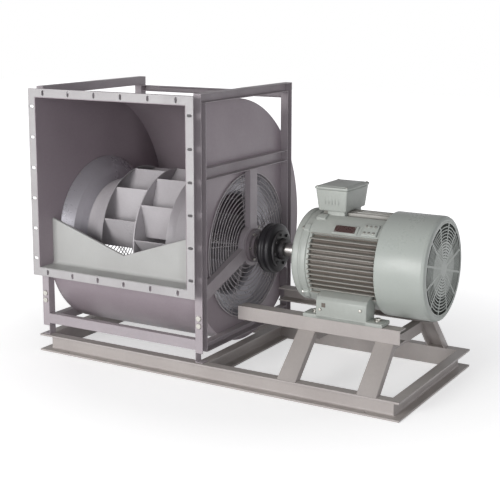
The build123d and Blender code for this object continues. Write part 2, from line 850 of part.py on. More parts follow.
def stand_leg(middle_x, side):
    """Splayed channel leg from the underside of the rail down to the base."""
    foot_y = leg_front_foot_y if side < 0 else leg_rear_foot_y
    top_z = stand_top_z - stand_rail_height
    outer = [(side * stand_half_width, top_z), (foot_y, base_height)]
    inner = [(foot_y - side * leg_depth, base_height), (side * leg_top_inner_y, top_z)]
    left = middle_x - leg_width / 2
    right = middle_x + leg_width / 2
    leg = side_prism(outer + inner, left, right)
    step = side * leg_wall * 1.4
    hollow = [(outer[0][0] - step, top_z), (outer[1][0] - step, base_height),
              (inner[0][0] - side * leg_depth, base_height), (inner[1][0] - side * leg_depth, top_z)]
    return leg - side_prism(hollow, left + leg_wall, right - leg_wall)


def stand_ties():
    """Two level channels joining the legs below the rails."""
    ties = []
    top_z = stand_top_z - stand_rail_height
    for x in (leg_left_x, leg_right_x):
        start = (x, -leg_top_inner_y, top_z)
        ties.append(channel_bar(start, (0, 1, 0), (0, 0, -1), 2 * leg_top_inner_y, tie_width,
                                tie_height, tie_wall, tie_wall))
    return Compound(children=ties)


pieces = {
    "base_front_rail": base_front_rail(),
    "base_rear_rail": base_rear_rail(),
    "base_left_end": base_left_end(),
    "base_right_end": base_right_end(),
    "base_middle_member": base_middle_member(),
    "rear_top_tie": rear_top_tie(),
    "front_bottom_tie": front_bottom_tie(),
    "frame_bolts": frame_bolts(),
    "outlet_flange": outlet_flange(),
    "scroll_wrapper": scroll_wrapper(),
    "cutoff_plate": cutoff_plate(),
    "fan_shaft": fan_shaft(),
    "impeller_hub": impeller_hub(),
    "impeller_centre_plate": impeller_centre_plate(),
    "fan_coupling_hub": fan_coupling_hub(),
    "coupling_tyre": coupling_tyre(),
    "motor_shaft": motor_shaft(),
    "rotor_core": rotor_core(),
    "motor_cooling_fan": motor_cooling_fan(),
    "motor_coupling_hub": motor_coupling_hub(),
    "motor_frame": motor_frame(),
    "drive_end_shield": drive_end_shield(),
    "rear_end_shield": rear_end_shield(),
    "fan_cowl": fan_cowl(),
    "cowl_grille": cowl_grille(),
    "terminal_box": terminal_box(),
    "terminal_box_lid": terminal_box_lid(),
    "stator_core": stator_core(),
    "motor_foot_bolts": motor_foot_bolts(),
    "stand_front_rail": stand_rail(-1),
    "stand_rear_rail": stand_rail(1),
    "stand_leg_front_left": stand_leg(leg_left_x, -1),
    "stand_leg_front_right": stand_leg(leg_right_x, -1),
    "stand_leg_rear_left": stand_leg(leg_left_x, 1),
    "stand_leg_rear_right": stand_leg(leg_right_x, 1),
    "stand_ties": stand_ties(),
}

both_sides = {
    "frame_front_upright": front_upright(),
    "frame_rear_upright": rear_upright(),
    "frame_top_rail": top_rail(),
    "frame_mid_rail": cross_rail(mid_rail_bottom_z, mid_rail_height),
    "frame_bottom_rail": cross_rail(bottom_rail_bottom_z, frame_bar_width),
    "side_plate": side_plate(),
    "inlet_cone": right_inlet_cone(),
    "inlet_guard": right_inlet_guard(),
    "bearing_bracket": right_bearing_bracket(),
    "bearing_housing": right_bearing_housing(),
    "shroud": right_shroud(),
}
pieces["right_blades"] = blade_row(right_blade_turn)
pieces["left_blades"] = mirrored(blade_row(left_blade_turn))
for name, shape in both_sides.items():
    pieces["right_" + name] = shape
    pieces["left_" + name] = mirrored(shape)

scroll_rear_y = scroll_rear_centre[0] + scroll_rear_radius + plate
centre_x = (shaft_left_end + base_right_x) / 2
centre_y = (outlet_plane_y + scroll_rear_y) / 2
to_origin = Pos(-centre_x, -centre_y, 0)
for name, shape in pieces.items():
    export_step(to_origin * shape, f"parts/{name}.step")
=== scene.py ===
# %% [markdown]
# # A double-inlet ventilation fan and its motor
# Large air handling plants move their air with a fan like this one. A sheet steel scroll holds a
# wide wheel that breathes in from both sides, and a motor on the same base turns it through a
# rubber tyre coupling. The solid parts come from CAD as a fixed frame. This lesson gives each of
# them its paint, rubber or steel, and adds the wires, screws and plates that make it look real.

# %% Load the solid parts
import json
import math

import bmesh
import bpy
from mathutils import Matrix, Vector


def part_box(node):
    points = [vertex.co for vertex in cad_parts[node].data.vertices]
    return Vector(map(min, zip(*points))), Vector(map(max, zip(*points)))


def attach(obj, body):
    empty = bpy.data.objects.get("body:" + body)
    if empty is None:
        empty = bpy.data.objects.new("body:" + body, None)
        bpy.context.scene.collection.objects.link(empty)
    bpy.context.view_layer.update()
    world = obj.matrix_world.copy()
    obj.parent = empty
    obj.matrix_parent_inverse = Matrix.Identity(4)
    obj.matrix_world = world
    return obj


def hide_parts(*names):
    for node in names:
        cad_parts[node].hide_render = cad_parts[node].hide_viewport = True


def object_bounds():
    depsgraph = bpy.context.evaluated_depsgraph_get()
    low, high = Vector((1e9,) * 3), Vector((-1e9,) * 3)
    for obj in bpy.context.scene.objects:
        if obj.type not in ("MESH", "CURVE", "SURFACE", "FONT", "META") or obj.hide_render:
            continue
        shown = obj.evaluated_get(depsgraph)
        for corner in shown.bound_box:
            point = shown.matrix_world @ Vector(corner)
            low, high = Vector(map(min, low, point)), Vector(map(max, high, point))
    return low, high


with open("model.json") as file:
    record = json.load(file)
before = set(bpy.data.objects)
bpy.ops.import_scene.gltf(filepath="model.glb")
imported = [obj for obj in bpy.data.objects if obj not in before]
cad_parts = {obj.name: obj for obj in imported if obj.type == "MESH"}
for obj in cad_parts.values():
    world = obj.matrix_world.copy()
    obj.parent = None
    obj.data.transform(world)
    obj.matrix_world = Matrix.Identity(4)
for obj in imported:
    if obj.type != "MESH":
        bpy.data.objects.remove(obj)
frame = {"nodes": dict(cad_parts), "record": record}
cad_low, cad_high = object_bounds()
scene = bpy.context.scene

# %% [markdown]
# Every place in this lesson is read from the solid parts, so a piece always sits on what carries
# it. The shaft line is the most useful place: almost everything round on this fan is turned about
# it, so its height and depth are kept under short names.

# %% Find the shaft line and the main places
shaft_low, shaft_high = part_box("fan_shaft")
shaft_y = (shaft_low.y + shaft_high.y) / 2
shaft_z = (shaft_low.z + shaft_high.z) / 2
wheel_x = sum(corner.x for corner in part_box("impeller_centre_plate")) / 2
print("shaft line at y", round(shaft_y, 4), "z", round(shaft_z, 4), "wheel middle x", round(wheel_x, 4))

# %% [markdown]
# The camera stands to the right of the outlet and a little above the motor, with a long lens, as
# in the photograph. Its place was solved from the straight edges of the base and the flange. A
# small lens shift keeps the uprights from leaning, as a studio camera does.

# %% Set up the camera
camera_data = bpy.data.cameras.new("studio_camera")
camera_data.sensor_width = 36
camera_data.lens = 36 * 1118.5 / 500
camera_data.shift_y = -0.12
camera_data.clip_end = 60
camera = bpy.data.objects.new("studio_camera", camera_data)
camera.location = (2.5149, -4.2598, 1.598)
camera.rotation_euler = (math.radians(90 - 9.52), 0, math.radians(30.66))
scene.collection.objects.link(camera)
scene.camera = camera
print("lens", round(camera_data.lens, 1), "mm")

# %% [markdown]
# The studio has one large soft lamp in front, low and a little to the left, which makes every
# face towards it pale and leaves lids and the motor's end in soft shade. A tall narrow lamp on
# the right draws the upright highlights on round sheet metal. The room gives an even grey light
# from its walls and much less from its ceiling.

# %% Place the lamps and the room light


def soft_lamp(name, place, target, width, height, power, colour):
    data = bpy.data.lights.new(name, "AREA")
    data.shape = "RECTANGLE"
    data.size = width
    data.size_y = height
    data.energy = power
    data.color = colour
    lamp = bpy.data.objects.new(name, data)
    lamp.location = place
    direction = Vector(target) - Vector(place)
    lamp.rotation_mode = "QUATERNION"
    lamp.rotation_quaternion = direction.to_track_quat("-Z", "Y")
    scene.collection.objects.link(lamp)
    return lamp


middle = (0, 0, 0.55)
soft_lamp("key_lamp", (-1.3, -6.2, 1.7), middle, 2.6, 2.6, 235, (1.0, 0.995, 0.985))
soft_lamp("strip_lamp", (4.3, -4.7, 1.4), middle, 0.45, 2.4, 50, (0.98, 0.985, 1.0))

world = bpy.data.worlds.new("studio_room")
scene.world = world
world.use_nodes = True
tree = world.node_tree
tree.nodes.clear()
world_out = tree.nodes.new("ShaderNodeOutputWorld")
seen = tree.nodes.new("ShaderNodeBackground")
seen.inputs["Color"].default_value = (1, 1, 1, 1)
seen.inputs["Strength"].default_value = 1.0
felt = tree.nodes.new("ShaderNodeBackground")
felt.inputs["Color"].default_value = (0.98, 0.975, 1.0, 1)
room_place = tree.nodes.new("ShaderNodeTexCoord")
room_split = tree.nodes.new("ShaderNodeSeparateXYZ")
room_level = tree.nodes.new("ShaderNodeMapRange")
room_level.inputs["From Min"].default_value = -0.1
room_level.inputs["From Max"].default_value = 0.75
room_level.inputs["To Min"].default_value = 0.78
room_level.inputs["To Max"].default_value = 0.2
room_mix = tree.nodes.new("ShaderNodeMixShader")
room_path = tree.nodes.new("ShaderNodeLightPath")
tree.links.new(room_place.outputs["Generated"], room_split.inputs[0])
tree.links.new(room_split.outputs["Z"], room_level.inputs["Value"])
tree.links.new(room_level.outputs[0], felt.inputs["Strength"])
tree.links.new(room_path.outputs["Is Camera Ray"], room_mix.inputs["Fac"])
tree.links.new(felt.outputs[0], room_mix.inputs[1])
tree.links.new(seen.outputs[0], room_mix.inputs[2])
tree.links.new(room_mix.outputs[0], world_out.inputs["Surface"])
scene.view_settings.view_transform = "Standard"

# %% [markdown]
# The floor is white for the camera and for mirrors, but it lights the fan no more than a pale
# floor would. Light Path tells the material which kind of ray has arrived. The shadow stays
# because the white is added on top of the lit floor, and less of it is added near the fan.

# %% Lay the white floor


def add_node(nodes, kind, place=None, **values):
    """A new shader node with its settings and input values filled in by name."""
    node = nodes.new(kind)
    for key, value in values.items():
        if key.startswith("in_"):
            node.inputs[key[3:].replace("_", " ")].default_value = value
        else:
            setattr(node, key, value)
    return node


def floor_material():
    material = bpy.data.materials.new("studio_floor")
    material.use_nodes = True
    nodes, links = material.node_tree.nodes, material.node_tree.links
    nodes.clear()
    out = nodes.new("ShaderNodeOutputMaterial")
    lit = add_node(nodes, "ShaderNodeBsdfDiffuse", in_Color=(0.8, 0.8, 0.8, 1))
    glow = add_node(nodes, "ShaderNodeEmission", in_Color=(1, 1, 1, 1))
    place = nodes.new("ShaderNodeTexCoord")
    reach = add_node(nodes, "ShaderNodeVectorMath", operation="LENGTH")
    fade = add_node(nodes, "ShaderNodeMapRange")
    fade.inputs["From Min"].default_value = 0.8
    fade.inputs["From Max"].default_value = 2.6
    fade.inputs["To Min"].default_value = 0.52
    fade.inputs["To Max"].default_value = 1.0
    links.new(place.outputs["Object"], reach.inputs[0])
    links.new(reach.outputs["Value"], fade.inputs["Value"])
    links.new(fade.outputs[0], glow.inputs["Strength"])
    both = nodes.new("ShaderNodeAddShader")
    path = nodes.new("ShaderNodeLightPath")
    camera_or_mirror = add_node(nodes, "ShaderNodeMath", operation="MAXIMUM")
    any_clear = add_node(nodes, "ShaderNodeMath", operation="MAXIMUM")
    mix = nodes.new("ShaderNodeMixShader")
    links.new(path.outputs["Is Camera Ray"], camera_or_mirror.inputs[0])
    links.new(path.outputs["Is Glossy Ray"], camera_or_mirror.inputs[1])
    links.new(camera_or_mirror.outputs[0], any_clear.inputs[0])
    links.new(path.outputs["Is Transmission Ray"], any_clear.inputs[1])
    links.new(lit.outputs[0], both.inputs[0])
    links.new(glow.outputs[0], both.inputs[1])
    links.new(any_clear.outputs[0], mix.inputs["Fac"])
    links.new(lit.outputs[0], mix.inputs[1])
    links.new(both.outputs[0], mix.inputs[2])
    links.new(mix.outputs[0], out.inputs["Surface"])
    return material


floor_mesh = bpy.data.meshes.new("studio_floor")
floor_shape = bmesh.new()
bmesh.ops.create_grid(floor_shape, x_segments=1, y_segments=1, size=14)
bmesh.ops.translate(floor_shape, verts=floor_shape.verts, vec=(0, 0, cad_low.z - 0.0005))
floor_shape.to_mesh(floor_mesh)
floor_shape.free()
floor_mesh.materials.append(floor_material())
floor = bpy.data.objects.new("studio_floor", floor_mesh)
scene.collection.objects.link(floor)
print("floor at z", round(cad_low.z, 4))

# %% [markdown]
# Painted steel is never one colour. The coat is thicker in places, dust lies on level faces and
# the corners are rubbed bright. These three effects are used by almost every finish here, so each
# is built once as a node group and placed in every material with its own values.

# %% Build the shared effects


def new_group(name, inputs, outputs):
    group = bpy.data.node_groups.new(name, "ShaderNodeTree")
    for title, kind, value in inputs:
        socket = group.interface.new_socket(name=title, in_out="INPUT", socket_type=kind)
        socket.default_value = value
    for title, kind in outputs:
        group.interface.new_socket(name=title, in_out="OUTPUT", socket_type=kind)
    return group, group.nodes.new("NodeGroupInput"), group.nodes.new("NodeGroupOutput")


def tone_group():
    """Slow and fine changes of tone across a coat."""
    group, given, result = new_group(
        "coat_tone",
        [("Colour", "NodeSocketColor", (0.5, 0.5, 0.5, 1)), ("Deep Colour", "NodeSocketColor", (0.3, 0.3, 0.3, 1)),
         ("Scale", "NodeSocketFloat", 3.0), ("Amount", "NodeSocketFloat", 0.3)],
        [("Colour", "NodeSocketColor"), ("Mask", "NodeSocketFloat")])
    nodes, links = group.nodes, group.links
    place = nodes.new("ShaderNodeTexCoord")
    slow = add_node(nodes, "ShaderNodeTexNoise", in_Detail=4.0, in_Roughness=0.6)
    fine = add_node(nodes, "ShaderNodeTexNoise", in_Scale=90.0, in_Detail=3.0, in_Roughness=0.7)
    both = add_node(nodes, "ShaderNodeMath", operation="MULTIPLY_ADD")
    both.inputs[1].default_value = 0.3
    spread = add_node(nodes, "ShaderNodeMapRange")
    spread.inputs["From Min"].default_value = 0.45
    spread.inputs["From Max"].default_value = 0.85
    strength = add_node(nodes, "ShaderNodeMath", operation="MULTIPLY")
    mix = add_node(nodes, "ShaderNodeMix", data_type="RGBA")
    links.new(place.outputs["Object"], slow.inputs["Vector"])
    links.new(place.outputs["Object"], fine.inputs["Vector"])
    links.new(given.outputs["Scale"], slow.inputs["Scale"])
    links.new(fine.outputs["Fac"], both.inputs[0])
    links.new(slow.outputs["Fac"], both.inputs[2])
    links.new(both.outputs[0], spread.inputs["Value"])
    links.new(spread.outputs[0], strength.inputs[0])
    links.new(given.outputs["Amount"], strength.inputs[1])
    links.new(strength.outputs[0], mix.inputs["Factor"])
    links.new(given.outputs["Colour"], mix.inputs["A"])
    links.new(given.outputs["Deep Colour"], mix.inputs["B"])
    links.new(mix.outputs["Result"], result.inputs["Colour"])
    links.new(spread.outputs[0], result.inputs["Mask"])
    return group


def rubbed_edge_group():
    """Where corners are rubbed, from the angle between the face and its rounded copy."""
    group, given, result = new_group(
        "rubbed_edges",
        [("Width", "NodeSocketFloat", 0.003), ("Amount", "NodeSocketFloat", 0.5)],
        [("Mask", "NodeSocketFloat"), ("Rounded", "NodeSocketVector")])
    nodes, links = group.nodes, group.links
    rounded = add_node(nodes, "ShaderNodeBevel", samples=4)
    flat = nodes.new("ShaderNodeNewGeometry")
    turn = add_node(nodes, "ShaderNodeVectorMath", operation="DOT_PRODUCT")
    spread = add_node(nodes, "ShaderNodeMapRange")
    spread.inputs["From Min"].default_value = 0.995
    spread.inputs["From Max"].default_value = 0.86
    place = nodes.new("ShaderNodeTexCoord")
    patch = add_node(nodes, "ShaderNodeTexNoise", in_Scale=24.0, in_Detail=3.0)
    broken = add_node(nodes, "ShaderNodeMapRange")
    broken.inputs["From Min"].default_value = 0.42
    broken.inputs["From Max"].default_value = 0.62
    together = add_node(nodes, "ShaderNodeMath", operation="MULTIPLY")
    strength = add_node(nodes, "ShaderNodeMath", operation="MULTIPLY")
    links.new(given.outputs["Width"], rounded.inputs["Radius"])
    links.new(rounded.outputs["Normal"], turn.inputs[0])
    links.new(flat.outputs["Normal"], turn.inputs[1])
    links.new(turn.outputs["Value"], spread.inputs["Value"])
    links.new(place.outputs["Object"], patch.inputs["Vector"])
    links.new(patch.outputs["Fac"], broken.inputs["Value"])
    links.new(spread.outputs[0], together.inputs[0])
    links.new(broken.outputs[0], together.inputs[1])
    links.new(together.outputs[0], strength.inputs[0])
    links.new(given.outputs["Amount"], strength.inputs[1])
    links.new(strength.outputs[0], result.inputs["Mask"])
    links.new(rounded.outputs["Normal"], result.inputs["Rounded"])
    return group


def dust_group():
    """Dust on faces that look upwards, in loose patches."""
    group, given, result = new_group("settled_dust", [("Amount", "NodeSocketFloat", 0.3)],
                                     [("Mask", "NodeSocketFloat")])
    nodes, links = group.nodes, group.links
    face = nodes.new("ShaderNodeNewGeometry")
    split = nodes.new("ShaderNodeSeparateXYZ")
    level = add_node(nodes, "ShaderNodeMapRange")
    level.inputs["From Min"].default_value = 0.5
    level.inputs["From Max"].default_value = 1.0
    place = nodes.new("ShaderNodeTexCoord")
    patch = add_node(nodes, "ShaderNodeTexNoise", in_Scale=11.0, in_Detail=6.0, in_Roughness=0.65)
    together = add_node(nodes, "ShaderNodeMath", operation="MULTIPLY")
    strength = add_node(nodes, "ShaderNodeMath", operation="MULTIPLY")
    links.new(face.outputs["Normal"], split.inputs[0])
    links.new(split.outputs["Z"], level.inputs["Value"])
    links.new(place.outputs["Object"], patch.inputs["Vector"])
    links.new(patch.outputs["Fac"], together.inputs[0])
    links.new(level.outputs[0], together.inputs[1])
    links.new(together.outputs[0], strength.inputs[0])
    links.new(given.outputs["Amount"], strength.inputs[1])
    links.new(strength.outputs[0], result.inputs["Mask"])
    return group


coat_tone = tone_group()
rubbed_edges = rubbed_edge_group()
settled_dust = dust_group()
print("shared effects:", [g.name for g in bpy.data.node_groups])

# %% [markdown]
# One function mixes a finish from these effects. Colours are written as the eye reads them on a
# screen, from 0 to 255, and turned into the linear values that a shader needs. The last step adds
# a very fine bump, the orange peel of sprayed paint or the grain of a casting.

# %% Mix a finish


def screen_colour(red, green, blue):
    """Screen values from 0 to 255 as the linear colour a shader uses."""
    def linear(value):
        value = value / 255
        return value / 12.92 if value <= 0.04045 else ((value + 0.055) / 1.055) ** 2.4
    return (linear(red), linear(green), linear(blue), 1)


def use_group(nodes, group, **values):
    node = nodes.new("ShaderNodeGroup")
    node.node_tree = group
    for key, value in values.items():
        node.inputs[key.replace("_", " ")].default_value = value
    return node


def finish(name, colour, deep, tone=0.5, scale=2.5, edge=None, edge_amount=0.4, edge_width=0.0025,
           dust=0.25, dust_colour=(196, 190, 180), rough=0.45, rough_change=0.15, metal=0.0,
           peel_scale=420.0, peel=0.08, coat=0.0):
    """A coated or bare surface made of the shared effects."""
    material = bpy.data.materials.new(name)
    material.use_nodes = True
    nodes, links = material.node_tree.nodes, material.node_tree.links
    shader = nodes["Principled BSDF"]
    tone_node = use_group(nodes, coat_tone, Colour=screen_colour(*colour), Deep_Colour=screen_colour(*deep),
                          Scale=scale, Amount=tone)
    edge_node = use_group(nodes, rubbed_edges, Width=edge_width, Amount=edge_amount)
    dust_node = use_group(nodes, settled_dust, Amount=dust)
    worn = add_node(nodes, "ShaderNodeMix", data_type="RGBA")
    worn.inputs["B"].default_value = screen_colour(*(edge or colour))
    dusty = add_node(nodes, "ShaderNodeMix", data_type="RGBA")
    dusty.inputs["B"].default_value = screen_colour(*dust_colour)
    links.new(tone_node.outputs["Colour"], worn.inputs["A"])
    links.new(edge_node.outputs["Mask"], worn.inputs["Factor"])
    links.new(worn.outputs["Result"], dusty.inputs["A"])
    links.new(dust_node.outputs["Mask"], dusty.inputs["Factor"])
    links.new(dusty.outputs["Result"], shader.inputs["Base Color"])
    roughness = add_node(nodes, "ShaderNodeMapRange")
    roughness.inputs["To Min"].default_value = max(0.05, rough - rough_change)
    roughness.inputs["To Max"].default_value = min(1.0, rough + rough_change)
    links.new(tone_node.outputs["Mask"], roughness.inputs["Value"])
    links.new(roughness.outputs[0], shader.inputs["Roughness"])
    shader.inputs["Metallic"].default_value = metal
    shader.inputs["Coat Weight"].default_value = coat
    place = nodes.new("ShaderNodeTexCoord")
    grain = add_node(nodes, "ShaderNodeTexNoise", in_Scale=peel_scale, in_Detail=2.0)
    bump = add_node(nodes, "ShaderNodeBump", in_Strength=peel, in_Distance=0.0006)
    links.new(place.outputs["Object"], grain.inputs["Vector"])
    links.new(grain.outputs["Fac"], bump.inputs["Height"])
    links.new(edge_node.outputs["Rounded"], bump.inputs["Normal"])
    links.new(bump.outputs["Normal"], shader.inputs["Normal"])
    return material


print("finish maker ready")

# %% [markdown]
# The fan is sprayed in a violet grey, the base in a warmer grey, and the outlet flange and the
# cut-off in a paler one. The motor keeps its maker's grey green. The wheel has a paler copy of the
# fan's paint: painted light that stands for the light on its blades, so they shine out of the dark
# scroll.

# %% Make the finishes of this fan
finishes = {
    "base_paint": finish("base_paint", (186, 180, 177), (156, 148, 146), edge=(216, 211, 208), dust=0.35),
    "frame_paint": finish("frame_paint", (176, 168, 173), (146, 137, 142), edge=(206, 200, 204), dust=0.25),
    "housing_paint": finish("housing_paint", (160, 149, 156), (134, 122, 129), edge=(194, 188, 192),
                            scale=1.6, dust=0.2),
    "flange_zinc": finish("flange_zinc", (184, 182, 183), (166, 162, 164), edge=(210, 208, 208), tone=0.6,
                          scale=6.0, dust=0.2, rough=0.5),
    "guard_wire": finish("guard_wire", (186, 180, 183), (150, 143, 147), edge_amount=0.0, dust=0.2, rough=0.4),
    "bearing_iron": finish("bearing_iron", (140, 131, 136), (104, 96, 100), edge=(180, 176, 178),
                           peel_scale=160.0, peel=0.3, rough=0.55),
    # Painted light: the wheel is a paler copy of the fan's paint, standing for the light on its blades.
    "impeller_paint": finish("impeller_paint", (190, 187, 190), (156, 149, 153), edge=(220, 218, 218),
                             dust=0.1, rough=0.36),
    "shaft_steel": finish("shaft_steel", (215, 213, 210), (170, 166, 162), edge_amount=0.1, dust=0.0, metal=1.0,
                          rough=0.28, peel=0.03),
    "hub_iron": finish("hub_iron", (52, 50, 52), (32, 30, 33), edge=(104, 102, 102), edge_amount=0.3,
                       dust=0.1, rough=0.45, peel_scale=180.0, peel=0.2),
    "tyre_rubber": finish("tyre_rubber", (36, 34, 38), (24, 23, 26), edge_amount=0.0, dust=0.12,
                          dust_colour=(110, 106, 104), rough=0.42, peel_scale=500.0, peel=0.12),
    "motor_paint": finish("motor_paint", (178, 183, 178), (150, 152, 146), edge=(206, 211, 206), scale=3.5,
                          dust=0.2, peel_scale=220.0, peel=0.18),
    "cowl_paint": finish("cowl_paint", (178, 184, 179), (160, 165, 160), edge=(206, 211, 206), scale=2.0,
                         dust=0.15, peel=0.06, rough=0.38),
    "core_steel": finish("core_steel", (120, 118, 116), (86, 84, 82), metal=0.8, dust=0.0),
    "fan_plastic": finish("fan_plastic", (40, 40, 41), (28, 28, 29), edge_amount=0.0, dust=0.2, rough=0.5),
    "bolt_zinc": finish("bolt_zinc", (206, 204, 198), (160, 156, 148), edge=(232, 230, 226), metal=0.9,
                        rough=0.35, dust=0.1, scale=30.0),
}
finishes["bell_metal"] = finish("bell_metal", (186, 184, 190), (158, 154, 161), edge=(214, 212, 214), tone=0.4,
                                dust=0.05, metal=0.35, rough=0.3, rough_change=0.1)
finishes["cutoff_zinc"] = finish("cutoff_zinc", (180, 181, 179), (168, 167, 166), edge=(208, 208, 206), tone=0.5,
                                 scale=4.0, dust=0.12, rough=0.5)
# Painted shade with grime: a dark brown grey for the core between the fins and for the small hole in a foot, where
# shade falls.
finishes["fin_ground"] = finish("fin_ground", (112, 103, 96), (82, 73, 68), dust=0.1, edge_amount=0.0, rough=0.6)
# The fins are a darker copy of the motor paint: painted shade from the gaps between them, with some grime.
finishes["fin_paint_shade_and_grime"] = finish("fin_paint_shade_and_grime", (152, 150, 144), (124, 119, 112), edge=(196, 199, 193), dust=0.2,
                               edge_amount=0.5, edge_width=0.002, peel_scale=220.0, peel=0.18)
finishes["plate_metal"] = finish("plate_metal", (88, 66, 64), (66, 48, 47), edge=(168, 166, 164),
                                 edge_amount=0.6, edge_width=0.0015, dust=0.1, rough=0.35, metal=0.3)
print("finishes:", len(finishes))

# %% [markdown]
# The record says which finish each solid part has. A part's object keeps its mesh, and only the
# material in its slots is exchanged.

# %% Paint the solid parts
slot_of = {part["node"]: part["material_slot"] for part in frame["record"]["subparts"]}
for node_name, node_object in frame["nodes"].items():
    for holder in node_object.material_slots:
        holder.material = finishes[slot_of[node_name]]
print("painted", len(slot_of), "solid parts")

# %% [markdown]
# New pieces all start as a bmesh, and all are finished in the same way: doubled points are merged,
# the faces turned outwards, flat and round areas told apart by their angle, and the object tied to
# the body it moves with.

# %% Finish a piece


def at(x, y, z):
    """A place given from the middle of the wheel along the shaft, and from the shaft line across."""
    return Vector((wheel_x + x, shaft_y + y, z))


def finish_piece(shape, name, body, finish_name, sharp=35, replaces=(), look=None):
    bmesh.ops.remove_doubles(shape, verts=shape.verts, dist=1e-6)
    bmesh.ops.recalc_face_normals(shape, faces=shape.faces)
    mesh = bpy.data.meshes.new(name)
    shape.to_mesh(mesh)
    shape.free()
    mesh.shade_smooth()
    mesh.set_sharp_from_angle(angle=math.radians(sharp))
    mesh.materials.append(finishes[look or finish_name])
    piece = bpy.data.objects.new(name, mesh)
    scene.collection.objects.link(piece)
    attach(piece, body)
    if replaces:
        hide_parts(*replaces)
    print(name, "faces", len(mesh.polygons))
    return piece


def round_profile(shape, points, rounding, steps=96, segments=3):
    """Turns a closed (x, radius) profile about the shaft line, its corners rounded first."""
    verts = [shape.verts.new((x, shaft_y, shaft_z + radius)) for x, radius in points]
    edges = [shape.edges.new((verts[i], verts[(i + 1) % len(verts)])) for i in range(len(verts))]
    if rounding > 0:
        made = bmesh.ops.bevel(shape, geom=verts, offset=rounding, segments=segments, profile=0.5,
                               affect="VERTICES", material=-1, clamp_overlap=True)
        found = {edge for vert in made["verts"] for edge in vert.link_edges}
        edges = list(found | {edge for edge in edges if edge.is_valid})
    points_used = list({vert for edge in edges for vert in edge.verts})
    bmesh.ops.spin(shape, geom=points_used + edges, cent=(0, shaft_y, shaft_z), axis=(1, 0, 0),
                   angle=math.tau, steps=steps, use_merge=True)


def about_shaft(turn):
    """The turn about the shaft line by an angle in degrees, as a matrix."""
    centre = Vector((0, shaft_y, shaft_z))
    return Matrix.Translation(centre) @ Matrix.Rotation(math.radians(turn), 4, "X") @ Matrix.Translation(-centre)


print("piece helpers ready")

# %% [markdown]
# Screws are everywhere on a machine like this, so a hexagon screw with its washer is made by one
# helper: a six-sided cone for the head with its corners bevelled, and a thin disc under it. The
# matrix says where the underside of the washer sits and which way the head points.

# %% A helper for hexagon screws


def axis_matrix(place, direction):
    """A matrix that stands a piece made along +Z on `place`, pointing along `direction`."""
    turn = Vector((0, 0, 1)).rotation_difference(Vector(direction).normalized()).to_matrix().to_4x4()
    return Matrix.Translation(Vector(place)) @ turn


def hex_screw(shape, matrix, across, height, washer=True, spin=0.0):
    radius = across / 2 / math.cos(math.radians(30))
    lift = 0.0
    if washer:
        disc = bmesh.ops.create_cone(shape, cap_ends=True, segments=24, radius1=across * 0.68,
                                     radius2=across * 0.66, depth=across * 0.09)
        bmesh.ops.translate(shape, verts=disc["verts"], vec=(0, 0, across * 0.045))
        bmesh.ops.transform(shape, verts=disc["verts"], matrix=matrix)
        lift = across * 0.09
    head = bmesh.ops.create_cone(shape, cap_ends=True, segments=6, radius1=radius, radius2=radius, depth=height)
    verts = head["verts"]
    bmesh.ops.rotate(shape, verts=verts, cent=(0, 0, 0), matrix=Matrix.Rotation(spin, 3, "Z"))
    bmesh.ops.translate(shape, verts=verts, vec=(0, 0, lift + height / 2))
    bmesh.ops.transform(shape, verts=verts, matrix=matrix)
    edges = list({edge for vert in verts for edge in vert.link_edges})
    bmesh.ops.bevel(shape, geom=edges, offset=across * 0.045, segments=2, profile=0.5, affect="EDGES",
                    material=-1, clamp_overlap=True)


print("hexagon screws ready")

# %% [markdown]
# The inlet guard keeps hands out of the wheel. On the real fan it is a spiral of steel wire welded
# to a few spokes. Each ring here is a small circle spun about the shaft line, which gives a true
# round wire with few faces. The rear of the guard is cut straight beside the upright, and a
# bisecting plane does that.

# %% Weave the two wire guards


def wire_ring(shape, x, radius, wire, steps=88):
    made = bmesh.ops.create_circle(shape, segments=6, radius=wire / 2)
    ring_verts = made["verts"]
    bmesh.ops.rotate(shape, verts=ring_verts, cent=(0, 0, 0), matrix=Matrix.Rotation(math.radians(90), 3, "X"))
    bmesh.ops.translate(shape, verts=ring_verts, vec=(x, shaft_y, shaft_z + radius))
    edges = list({edge for vert in ring_verts for edge in vert.link_edges})
    bmesh.ops.spin(shape, geom=ring_verts + edges, cent=(0, shaft_y, shaft_z), axis=(1, 0, 0),
                   angle=math.tau, steps=steps, use_merge=True)


def wire_spoke(shape, x, inner, outer, turn, wire):
    made = bmesh.ops.create_cone(shape, cap_ends=True, segments=8, radius1=wire / 2, radius2=wire / 2,
                                 depth=outer - inner)
    verts = made["verts"]
    bmesh.ops.translate(shape, verts=verts, vec=(x, shaft_y, shaft_z + (inner + outer) / 2))
    bmesh.ops.transform(shape, verts=verts, matrix=about_shaft(turn))


